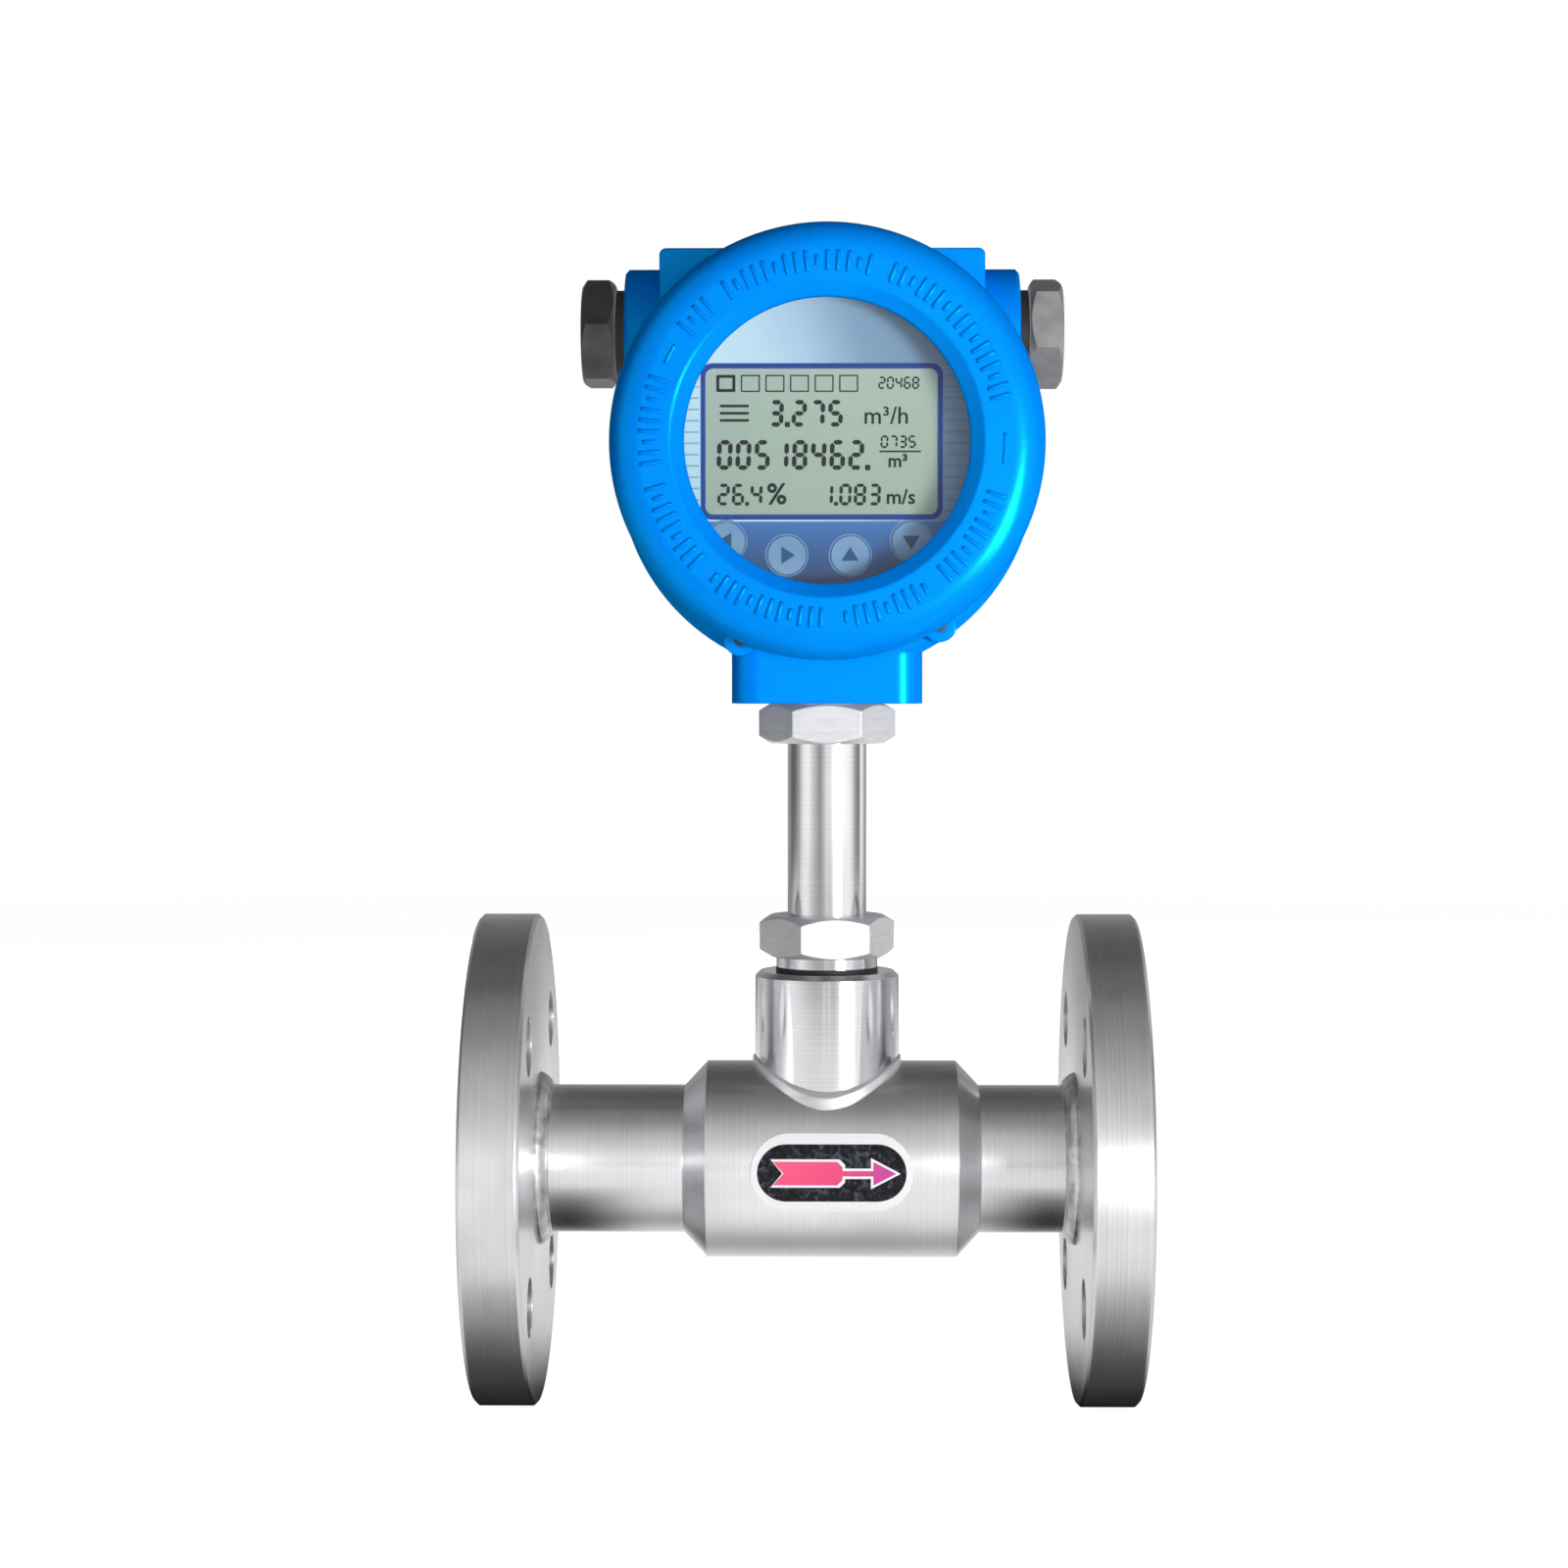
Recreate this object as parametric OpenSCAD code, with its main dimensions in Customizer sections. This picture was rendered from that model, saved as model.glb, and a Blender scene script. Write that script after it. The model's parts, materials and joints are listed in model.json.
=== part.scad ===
// Inline thermal mass flow meter: flanged flow tube, sensor stem and swivelling two-chamber head.
// Origin: centre of the inlet flange's sealing face. +X is the flow direction, +Z is up, -Y faces the reader.

/* [Flow tube] */
// Distance between the two sealing faces
face_to_face = 200; // [180:1:260]
// Distance from the inlet sealing face to the stem axis
stem_x = 106; // [95:0.5:112]
// Outer diameter of both flanges
flange_d = 150; // [144:1:170]
// Thickness of both flanges
flange_t = 18; // [12:0.5:22]
// Distance of the bolt circle inside the flange rim
bolt_edge = 20; // [16:0.5:24]
// Diameter of the bolt holes
bolt_hole_d = 18; // [12:0.5:20]
// Chamfer on the flange rims
rim_chamfer = 1; // [0.3:0.1:2]
// Outer diameter of the pipe stubs
pipe_d = 45; // [42:0.5:48]
// Wall of the pipe stubs
pipe_wall = 2.5; // [2:0.1:4]
// Gap between a pipe stub and the hole of its flange
flange_slip = 0.4; // [0.2:0.1:1]
// How far a pipe stub ends behind the sealing face
pipe_setback = 4; // [2:0.5:6]
// Leg of the fillet welds at the flanges
weld_leg = 4; // [2:0.5:5]

/* [Flow body] */
// How far the flow body stands out past the pipe stubs
barrel_step = 7.5; // [5:0.5:10]
// Length of the flow body between its cones
barrel_len = 76; // [66:1:84]
// Distance of the flow body's middle downstream of the stem
barrel_shift = 1.5; // [0:0.5:4]
// Length of the cone at each end
cone_len = 7; // [4:0.5:9]
// Distance of the sensor boss's side inside the flow body's side
boss_inset = 8; // [6:0.5:10]
// Height of the boss's top above the pipe axis
boss_top = 58; // [54:0.5:64]
// Chamfer on the boss's top edge
boss_chamfer = 1.5; // [0.5:0.1:3]
// Leg of the weld bead round the boss
boss_weld_leg = 2; // [1:0.1:3]

/* [Arrow plate] */
// Length of the arrow plate
plate_len = 48.5; // [42:0.5:54]
// Height of the arrow plate
plate_h = 23.5; // [18:0.5:26]
// Thickness of the arrow plate
plate_t = 0.6; // [0.4:0.1:1.2]

/* [Stem and nuts] */
// Diameter of the stem
stem_d = 24; // [22:0.5:26]
// Bore of the stem
stem_bore_d = 18; // [16:0.5:19]
// Width across the flats of both nuts
nut_af = 36; // [34:0.5:40]
// Height of the lower nut
gland_nut_h = 12.5; // [11:0.5:15]
// Height of the upper nut
lock_nut_h = 12; // [9:0.5:14]
// Turn of the lower nut about the stem, in degrees
gland_nut_turn = 8; // [0:1:30]
// Diameter of the gland collar
collar_d = 31; // [30:0.5:34]
// Height of the gland collar
collar_h = 3.3; // [2:0.1:5]
// Thickness of the gasket under the collar
gland_gasket_t = 1.2; // [0.8:0.1:2]
// Outer diameter of the gland's threads
gland_thread_d = 28.6; // [28:0.1:29.5]
// Length of the gland's lower thread
gland_depth = 15; // [12:0.5:17]

/* [Probe] */
// Diameter of the probe tube
probe_d = 16; // [14:0.5:16.5]
// Wall of the probe tube
probe_wall = 1.5; // [1:0.1:2]
// Length of probe tube held inside the stem
probe_lap = 10; // [6:0.5:12]
// Height of the guard's top above the pipe axis
guard_top = 14; // [12:0.5:16]
// Depth of the guard's end below the pipe axis
guard_depth = 9; // [8:0.5:11]
// Thickness of the guard's closed ends
guard_end = 2.5; // [1.5:0.1:4]
// Width of the guard's slot
guard_slot = 11; // [9:0.5:12]
// Diameter of the heated sensor pin
heated_d = 3.2; // [2.5:0.1:3.5]
// Diameter of the reference sensor pin
reference_d = 2.6; // [2:0.1:3]
// Distance between the two sensor pins
pin_spacing = 6; // [5:0.1:6.5]
// Diameter of the sensor lead
lead_d = 5; // [4:0.1:7]

/* [Housing] */
// Height of the neck's underside above the pipe axis
neck_z = 140; // [138:0.5:144]
// Height of the round body's lowest point above the neck's underside
neck_rise = 16.5; // [15.5:0.5:24]
// Width of the square neck
neck_w = 57; // [50:0.5:60]
// Corner radius of the neck
neck_r = 8; // [4:0.5:12]
// How far the round chin between body and neck swells past the body's radius
chin_swell = 2; // [0.5:0.5:3]
// Distance of the chin's middle below the head's middle
chin_drop = 6; // [4:0.5:7]
// Length of stem inside the neck
stem_grip = 18; // [12:0.5:19]
// Diameter of the housing's round body
drum_d = 120; // [118:0.5:124]
// Half depth of the housing, to each cover's seat
drum_half = 34; // [32:0.5:40]
// Wall of the round body outside the cover threads
rim_wall = 7.7; // [6.5:0.1:8.5]
// Step between the thread bore and the chamber
bore_step = 2; // [1:0.5:3]
// Depth of each thread bore
thread_depth = 13; // [11:0.5:15]
// Distance of the partition's front behind the front cover's seat
partition_depth = 20; // [18:0.5:22]
// Thickness of the partition
partition_t = 4; // [3:0.5:6]
// Distance of the shoulder block's sides inside the round body's sides
shoulder_inset = 11.5; // [8:0.5:14]
// Height of the shoulder block above the conduit bosses
shoulder_cap = 4; // [3:0.5:8]
// Half depth of the shoulder block
shoulder_depth = 22; // [21:0.5:28]
// Corner radius of the shoulder block
shoulder_r = 2; // [1:0.5:8]
// Distance of the conduit axis inside the chamber's wall
conduit_sink = 14.8; // [13.5:0.1:17]
// Diameter of the conduit bosses
conduit_boss_d = 39; // [36:0.5:42]
// Distance of the conduit bosses' ends inside the round body's sides
conduit_inset = 0.6; // [0:0.1:2]
// How far the shoulder block and the conduit bosses sit to the left of the stem
shoulder_offset = 1.5; // [0:0.1:2]
// Diameter of the conduit entries
conduit_d = 20; // [18:0.5:24]

/* [Covers] */
// How far the covers stand out past the round body
cover_overhang = 3.5; // [2.5:0.5:5]
// Depth of the front cover's ring in front of its seat
cover_depth = 21.5; // [20:0.5:26]
// Depth of the rear cover behind its seat
rear_depth = 17; // [14:0.5:24]
// Radius of the covers' rounded outer edge
cover_edge_r = 9; // [5:0.5:11]
// Width of the cover's lip in front of the glass
window_lip = 4.5; // [3:0.1:6]
// Width of the bevel round the window
bevel_w = 4; // [2:0.1:6]
// Depth of the bevel round the window
bevel_depth = 3.5; // [2:0.1:5]
// Thickness of the lip in front of the glass
lip_t = 3; // [2:0.1:4]
// Length of the covers' threaded skirts
skirt_len = 11; // [9:0.5:12]
// Wall of the threaded skirts
skirt_wall = 3.7; // [3:0.1:4]
// Width of the ledge between the glass and the inside of the skirt
glass_ledge = 2.3; // [1.8:0.1:4]
// Thickness of the glass
glass_t = 6; // [5:0.5:8]
// Thickness of the glass gasket
glass_gasket_t = 1; // [0.5:0.1:1.5]
// Thickness of the ring that holds the glass
retainer_t = 3.5; // [3:0.1:3.8]
// Width of the ring that holds the glass
retainer_w = 3; // [2:0.1:4]
// Cord diameter of the cover seals
seal_d = 2.4; // [2:0.1:3]

/* [Plugs] */
// Width across the flats of the conduit plugs
plug_af = 30; // [28:0.5:32]
// Thickness of the plug heads
plug_head_t = 10; // [8:0.5:14]
// Turn of the left plug's hexagon from a flat that faces front, in degrees
left_plug_turn = -25; // [-30:1:30]
// Turn of the right plug's hexagon from a flat that faces front, in degrees
right_plug_turn = -12; // [-30:1:30]
// Length of the plug's threaded part
plug_thread_len = 10; // [8:0.5:11]
// Bore of the hollow plug
plug_bore_d = 13; // [10:0.5:14]
// Diameter of the plug seals
plug_seal_d = 26.5; // [25:0.5:28]
// Thickness of the plug seals
plug_seal_t = 2.6; // [2:0.1:3.5]

/* [Display] */
// Distance of the faceplate's front from the head's middle
face_depth = 38.4; // [38:0.1:38.9]
// Gap between the faceplate's edge and the front cover's skirt
face_gap = 0.6; // [0.4:0.1:0.9]
// Thickness of the faceplate
face_t = 1.2; // [0.8:0.1:1.6]
// Distance of the display glass's corners inside the faceplate's edge
lcd_inset = 7.6; // [7:0.1:10]
// Gap between the display glass's lower edge and the outer buttons
lcd_button_gap = 2.3; // [2:0.1:4]
// Corner radius of the display glass
lcd_r = 2.5; // [1:0.1:4]
// Margin of the display's frame round its glass
lcd_margin = 1; // [0.6:0.1:1.2]
// Thickness of the display module
lcd_t = 3.8; // [3.4:0.1:4.2]
// Distance of the display's middle left of the stem axis
lcd_left = 1.6; // [0:0.1:3]
// Rise of the display's middle above the head's middle
lcd_rise = 0.5; // [0:0.1:1]
// Diameter of the buttons
button_d = 11.2; // [9:0.1:12]
// Distance of the button group's middle left of the stem axis
buttons_left = 2.5; // [0:0.1:2.6]
// Distance of the left button inside the faceplate's edge
button_edge = 0.8; // [0.6:0.1:3]
// Angle of the left button from the bottom of the faceplate, in degrees
left_button_angle = 46; // [42:1:47]
// How far the inner buttons lie below the outer ones
inner_button_step = 4.1; // [3:0.1:6]
// Travel of the buttons
button_travel = 0.5; // [0.3:0.1:0.7]

/* [Boards] */
// Thickness of the circuit boards
board_t = 1.6; // [1:0.1:2]
// Gap between the round boards and the front cover's skirt
board_gap = 4.3; // [3:0.1:6]
// Gap between the partition and the main board
main_gap = 6; // [5:0.5:7]
// Diameter of the standoffs
standoff_d = 5; // [4:0.1:6]
// Distance of the power board's corners inside the chamber's wall
power_inset = 7.3; // [6:0.1:12]
// Distance of the terminal block's ends inside the power board's edges
terminal_inset = 8; // [6:0.5:12]
// Height of the terminal block
terminal_h = 16; // [14:0.5:20]
// Depth of the terminal block
terminal_depth = 13; // [10:0.5:16]
// Number of terminals
terminal_count = 6; // [4:1:8]
// Diameter of the terminal screws
terminal_screw_d = 5; // [4:0.1:5.5]

/* [Small screws] */
// Diameter of the lugs for the lock and earth screws
lug_d = 10; // [6:0.5:12]
// Diameter of the lock and earth screws
lug_screw_d = 4; // [3:0.5:5]
// Angle of the lock screw left of the bottom, in degrees
lock_angle = 24; // [20:1:40]
// Angle of the earth screw right of the bottom, in degrees
earth_angle = 32; // [20:1:40]

/* [Hidden] */
$fn = 96;

// Overrun of every cut
cut = 1;
// Gap between screwed or sliding pieces of different bodies
thread_gap = 0.3;
// Gap between a moving piece and its seat
seat_gap = 0.3;
// Running gap of the stem in the neck, on the radius
swivel_gap = 0.08;
// Gap between fixed pieces that are pushed together, on the radius
slip_gap = 0.1;
// Step to which worked out widths and heights are rounded
grid = 0.1;
function to_grid(size) = grid * round(size / grid);

bolt_circle_d = flange_d - 2 * bolt_edge;
bore_d = pipe_d - 2 * pipe_wall;
barrel_d = pipe_d + 2 * barrel_step;
boss_d = barrel_d - 2 * boss_inset;
flange_hole_d = pipe_d + 2 * flange_slip;
barrel_start = stem_x + barrel_shift - barrel_len / 2;
barrel_end = barrel_start + barrel_len;
cone_start = barrel_start - cone_len;
cone_end = barrel_end + cone_len;

// Gland, from the boss upwards
gland_bore_d = stem_d + 2 * slip_gap;
boss_hole_d = gland_thread_d + 2 * slip_gap;
boss_floor = boss_top - gland_depth - cut;
probe_hole_d = probe_d + 2 * slip_gap;
collar_z = boss_top + gland_gasket_t;
nut_z = collar_z + collar_h;
gland_rise = 7;
ferrule_h = 3;
nut_chamfer_share = 0.06;
lock_nut_z = neck_z - seat_gap - lock_nut_h;

// Stem and probe
stem_foot = boss_top - gland_depth;
stem_top = neck_z + stem_grip;
probe_top = stem_foot + probe_lap;
stem_seal_d = 2;
stem_seal_z = neck_z + stem_grip / 2;
pin_tip = -guard_depth + guard_end + 2;
lead_top = stem_top - 2;

// Housing, seen from the front with the depth counted towards the reader
head_z = neck_z + neck_rise + drum_d / 2;
thread_r = drum_d / 2 - rim_wall;
chamber_r = thread_r - bore_step;
partition_front = drum_half - partition_depth;
partition_back = partition_front - partition_t;
boss_wall_r = conduit_boss_d / 2;
conduit_rise = chamber_r - conduit_sink;
conduit_end = drum_d / 2 - conduit_inset;
shoulder_x = stem_x - shoulder_offset;
shoulder_half = drum_d / 2 - shoulder_inset;
shoulder_top = conduit_rise + boss_wall_r + shoulder_cap;
chin_r = drum_d / 2 + chin_swell;
feed_d = 16;
feed_x = 0;
feed_rise = 20;
feed_flange_d = 20;
feed_flange_t = 2;
passage_d = 11;
board_lead_d = 4;
chin_edge = 2.5;
lug_web = 0.8;
lug_r = drum_d / 2 + lug_web + lug_screw_d / 2;
lug_len = 16;
lug_back = drum_half - lug_len;
lug_screw_len = 10;

// Covers
cover_r = drum_d / 2 + cover_overhang;
skirt_r = thread_r - thread_gap;
skirt_in_r = skirt_r - skirt_wall;
glass_d = 2 * (skirt_in_r - glass_ledge);
retainer_bore_d = glass_d - 2 * retainer_w;
window_d = glass_d - 2 * window_lip;
bevel_d = window_d + 2 * bevel_w;
seat = drum_half + seat_gap;
cover_front = seat + cover_depth;
glass_front = cover_front - bevel_depth - lip_t;
glass_back = glass_front - glass_t;
gasket_back = glass_back - glass_gasket_t;
retainer_back = gasket_back - retainer_t;
glass_seat_r = glass_d / 2 + slip_gap;
groove_r = thread_r + 0.6 * seal_d;
groove_depth = seal_d;
seal_clear = 0.1;
back_chamfer = 1.5;
rear_face_t = 6;
rear_rib_inset = 21.5;
rear_rib_d = 2 * (cover_r - rear_rib_inset);
rear_rib_t = 2.5;

// Display
face_back = face_depth - face_t;
face_d = 2 * (skirt_in_r - face_gap);
left_button_r = face_d / 2 - button_edge - button_d / 2;
outer_button_x = left_button_r * sin(left_button_angle) - buttons_left;
outer_button_drop = left_button_r * cos(left_button_angle);
inner_button_share = 0.342;
inner_button_x = outer_button_x * inner_button_share;
inner_button_drop = outer_button_drop + inner_button_step;
lcd_h = to_grid(2 * (outer_button_drop - button_d / 2 - lcd_button_gap + lcd_rise));
lcd_w = to_grid(2 * sqrt(pow(face_d / 2 - lcd_inset, 2) - pow(lcd_h / 2, 2)));
lcd_back = face_back - lcd_t;
display_back = lcd_back - board_t;
glass_sink = 0.2;
button_gap = 0.3;
button_proud = 0.3;
button_flange_d = button_d + 1;
button_flange_t = 1;
button_stem_d = 4;
button_stem_gap = 0.4;
board_d = 2 * (skirt_in_r - board_gap);
standoff_shares = [0.228, 0.386, 0.432];
standoff_x = board_d * standoff_shares[0];
standoff_up = board_d * standoff_shares[1];
standoff_down = board_d * standoff_shares[2];
main_back = partition_front + main_gap;
main_front = main_back + board_t;
screw_head_d = 5.5;
screw_head_t = 1.8;
screw_d = 2.5;
power_gap = 6;
power_trim = 0.3;
power_h = chamber_r - power_trim;
power_w = to_grid(2 * sqrt(pow(chamber_r - power_inset, 2) - pow(power_h / 2, 2)));
terminal_w = power_w - 2 * terminal_inset;
power_front = partition_back - power_gap;
power_back = power_front - board_t;
terminal_back = power_back - terminal_depth;
terminal_rise = -6;
post_x_share = 0.42;
post_z_share = 0.4;

// Puts a shape drawn along Z onto the pipe axis, pointing downstream
module along_pipe(x) translate([x, 0, 0]) rotate([0, 90, 0]) children();

// Puts a shape drawn upwards onto the stem axis
module on_stem(z) translate([stem_x, 0, z]) children();

// Faces a shape to the reader: its X is right, its Y is up, its Z is the distance in front of the stem
module facing(depth) translate([stem_x, -depth, head_z]) rotate([90, 0, 0]) children();

// Faces a shape backwards: its Y is up and its Z is the distance behind the stem
module facing_back(depth) translate([stem_x, depth, head_z]) rotate([90, 0, 180]) children();

// Plain ring with its foot at zero
module ring(outer_d, inner_d, h) {
    difference() {
        cylinder(d = outer_d, h = h);
        translate([0, 0, -cut]) cylinder(d = inner_d, h = h + 2 * cut);
    }
}

// Rounded rectangle in the plane
module rounded_rect(w, h, r) {
    square([w - 2 * r, h], center = true);
    square([w, h - 2 * r], center = true);
    for (x = [-1, 1], y = [-1, 1]) translate([x * (w / 2 - r), y * (h / 2 - r)]) circle(r = r);
}

// Hexagon nut blank with both rims chamfered at the corners
module hex_blank(af, h) {
    corner = af / cos(30) / 2;
    c = af * nut_chamfer_share;
    intersection() {
        cylinder(d = 2 * corner, h = h, $fn = 6);
        rotate_extrude() polygon([[0, 0], [corner - 1.6 * c, 0], [corner, c], [corner, h - c],
            [corner - 1.6 * c, h], [0, h]]);
    }
}

// Slip-on plate flange, sealing face at zero, body along +Z
module plate_flange() {
    r = flange_d / 2;
    c = rim_chamfer;
    difference() {
        rotate_extrude() polygon([[0, 0], [r - c, 0], [r, c], [r, flange_t - c], [r - c, flange_t],
            [0, flange_t]]);
        translate([0, 0, -cut]) cylinder(d = flange_hole_d, h = flange_t + 2 * cut);
        for (a = [45:90:315]) rotate(a) translate([bolt_circle_d / 2, 0, -cut])
            cylinder(d = bolt_hole_d, h = flange_t + 2 * cut);
    }
}

// The two fillet welds of one flange: a bead behind it and one in its mouth
module flange_beads() {
    r = pipe_d / 2;
    root = flange_hole_d / 2;
    mouth = pipe_setback - cut / 2;
    rotate_extrude() polygon([[r, flange_t], [r + weld_leg, flange_t],
        [r + 0.62 * weld_leg, flange_t + 0.45 * weld_leg], [r + 0.3 * weld_leg, flange_t + 0.8 * weld_leg],
        [r, flange_t + 1.05 * weld_leg]]);
    rotate_extrude() polygon([[bore_d / 2, pipe_setback], [root, pipe_setback], [root, pipe_setback - mouth],
        [bore_d / 2 + 0.6 * pipe_wall, pipe_setback - 0.5 * mouth]]);
}

module inlet_flange() {
    color("#c9ccd1") along_pipe(0) plate_flange();
}

module outlet_flange() {
    color("#c9ccd1") translate([face_to_face, 0, 0]) mirror([1, 0, 0]) along_pipe(0) plate_flange();
}

module inlet_pipe() {
    color("#b9bcc2") along_pipe(pipe_setback) ring(pipe_d, bore_d, cone_start - pipe_setback);
}

module outlet_pipe() {
    color("#b9bcc2") along_pipe(cone_end) ring(pipe_d, bore_d, face_to_face - pipe_setback - cone_end);
}

module inlet_weld() {
    color("#e4e6ea") along_pipe(0) flange_beads();
}

module outlet_weld() {
    color("#e4e6ea") translate([face_to_face, 0, 0]) mirror([1, 0, 0]) along_pipe(0) flange_beads();
}

// Turned body with a cone at each end, bored through and drilled for the probe
module flow_body() {
    r = barrel_d / 2;
    rp = pipe_d / 2;
    len = cone_end - cone_start;
    color("#c2c5ca") difference() {
        along_pipe(cone_start) rotate_extrude()
            polygon([[0, 0], [rp, 0], [r, cone_len], [r, len - cone_len], [rp, len], [0, len]]);
        along_pipe(cone_start - cut) cylinder(d = bore_d, h = len + 2 * cut);
        on_stem(0) cylinder(d = probe_hole_d, h = barrel_d);
    }
}

// Round boss saddled on the flow body, with the gland's threaded hole and the probe's hole under it
module sensor_boss() {
    r = boss_d / 2;
    c = boss_chamfer;
    color("#bfc2c8") difference() {
        on_stem(0) rotate_extrude() polygon([[0, 0], [r, 0], [r, boss_top - c], [r - c, boss_top],
            [0, boss_top]]);
        along_pipe(cone_start) cylinder(d = barrel_d, h = cone_end - cone_start);
        on_stem(boss_floor) cylinder(d = boss_hole_d, h = boss_top);
        on_stem(0) cylinder(d = probe_hole_d, h = boss_top);
    }
}

// Weld bead that follows the saddle between the boss and the flow body
module boss_weld() {
    color("#a9acb2") difference() {
        intersection() {
            on_stem(0) cylinder(d1 = boss_d + 4 * boss_weld_leg, d2 = boss_d, h = barrel_d * 0.62);
            along_pipe(barrel_start) cylinder(d = barrel_d + 2 * boss_weld_leg, h = barrel_len);
        }
        on_stem(-cut) cylinder(d = boss_d, h = barrel_d);
        along_pipe(cone_start) cylinder(d = barrel_d, h = cone_end - cone_start);
    }
}

// Thin stadium plate bent round the front of the flow body
module arrow_plate() {
    color("#e9e9ec") intersection() {
        along_pipe(barrel_start) ring(barrel_d + 2 * plate_t, barrel_d, barrel_len);
        translate([stem_x + barrel_shift, 0, 0]) rotate([90, 0, 0])
            linear_extrude(height = barrel_d) rounded_rect(plate_len, plate_h, plate_h / 2 - slip_gap);
    }
}

module gland_gasket() {
    color("#26262a") on_stem(boss_top) ring(collar_d + 2 * slip_gap, gland_thread_d, gland_gasket_t);
}

// Turned gland: thread in the boss, collar on the gasket, thread inside the nut, cone seat on top
module gland_body() {
    rt = gland_thread_d / 2;
    rc = collar_d / 2;
    rb = gland_bore_d / 2;
    top = nut_z + gland_rise;
    color("#c6c9ce") on_stem(0) rotate_extrude() polygon([[rb, stem_foot], [rt, stem_foot], [rt, collar_z],
        [rc, collar_z], [rc, nut_z], [rt, nut_z], [rt, top], [rb + 0.6 * (rt - rb), top],
        [rb, top - ferrule_h / 2]]);
}

// Cone ring squeezed onto the stem by the nut
module gland_ferrule() {
    rb = gland_bore_d / 2;
    rt = gland_thread_d / 2;
    top = nut_z + gland_rise;
    color("#b08d57") on_stem(0) rotate_extrude() polygon([[stem_d / 2, top - ferrule_h / 2],
        [rb, top - ferrule_h / 2], [rb + 0.6 * (rt - rb), top], [rb + 0.4 * (rt - rb), top + ferrule_h / 2],
        [stem_d / 2, top + ferrule_h / 2]]);
}

module gland_nut() {
    rb = gland_bore_d / 2;
    rt = gland_thread_d / 2;
    roof = gland_rise + ferrule_h / 2;
    color("#d4d6da") on_stem(nut_z) rotate(gland_nut_turn) difference() {
        hex_blank(nut_af, gland_nut_h);
        translate([0, 0, -cut]) cylinder(r = rt + slip_gap, h = roof + cut);
        translate([0, 0, -cut]) cylinder(r = rb, h = gland_nut_h + 2 * cut);
    }
}

// Stem with the groove for the swivel seal
module stem_tube() {
    color("#cfd1d6") on_stem(0) difference() {
        translate([0, 0, stem_foot]) cylinder(d = stem_d, h = stem_top - stem_foot);
        translate([0, 0, probe_top]) cylinder(d = stem_bore_d, h = stem_top);
        translate([0, 0, stem_foot - cut]) cylinder(d = probe_hole_d, h = stem_top);
        translate([0, 0, stem_seal_z - stem_seal_d * 0.6])
            ring(stem_d + 2 * cut, stem_d - 2 * stem_seal_d, stem_seal_d * 1.2);
    }
}

module probe_tube() {
    color("#c4c7cc") on_stem(guard_top) ring(probe_d, probe_d - 2 * probe_wall, probe_top - guard_top);
}

// Cage round the sensor pins: closed ends and a slot through which the gas flows
module sensor_guard() {
    h = guard_top + guard_depth;
    color("#b4b7bd") on_stem(-guard_depth) difference() {
        cylinder(d = probe_d, h = h);
        translate([0, 0, guard_end + (h - 2 * guard_end) / 2])
            cube([2 * probe_d, guard_slot, h - 2 * guard_end], center = true);
        for (side = [-1, 1]) translate([0, side * pin_spacing / 2, h - guard_end - cut])
            cylinder(d = side < 0 ? heated_d : reference_d, h = guard_end + 2 * cut);
    }
}

// Sensor pin with a round tip, hung from the guard's upper end
module sensor_pin(d) {
    foot = pin_tip + d / 2;
    translate([0, 0, foot]) cylinder(d = d, h = guard_top + guard_end - foot);
    translate([0, 0, foot]) sphere(d = d);
}

module heated_sensor() {
    color("#d8dade") on_stem(0) translate([0, -pin_spacing / 2, 0]) sensor_pin(heated_d);
}

module reference_sensor() {
    color("#d8dade") on_stem(0) translate([0, pin_spacing / 2, 0]) sensor_pin(reference_d);
}

// Straight lead inside the stem, with a round connector at its top
module sensor_lead() {
    foot = guard_top + guard_end;
    color("#303236") on_stem(0) {
        translate([0, 0, foot]) cylinder(d = lead_d, h = lead_top - foot);
        translate([0, 0, lead_top - 2 * lead_d]) cylinder(d = stem_bore_d - 2 * slip_gap, h = lead_d);
        translate([0, 0, foot]) cylinder(d = pin_spacing + reference_d, h = lead_d);
    }
}

module lock_nut() {
    color("#d4d6da") on_stem(lock_nut_z) difference() {
        hex_blank(nut_af, lock_nut_h);
        translate([0, 0, -cut]) cylinder(d = stem_d, h = lock_nut_h + 2 * cut);
    }
}

module swivel_seal() {
    color("#1b1b1d") on_stem(stem_seal_z) rotate_extrude()
        translate([stem_d / 2 - stem_seal_d / 2, 0]) circle(d = stem_seal_d);
}

// Lug on the rim that carries a small screw, at an angle from the bottom
module rim_lug(angle) {
    facing(lug_back) rotate(angle) translate([0, -lug_r, 0]) cylinder(d = lug_d, h = lug_len);
}

module lug_hole(angle) {
    facing(drum_half - lug_screw_len) rotate(angle) translate([0, -lug_r, 0])
        cylinder(d = lug_screw_d, h = lug_screw_len + cut);
}

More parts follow.
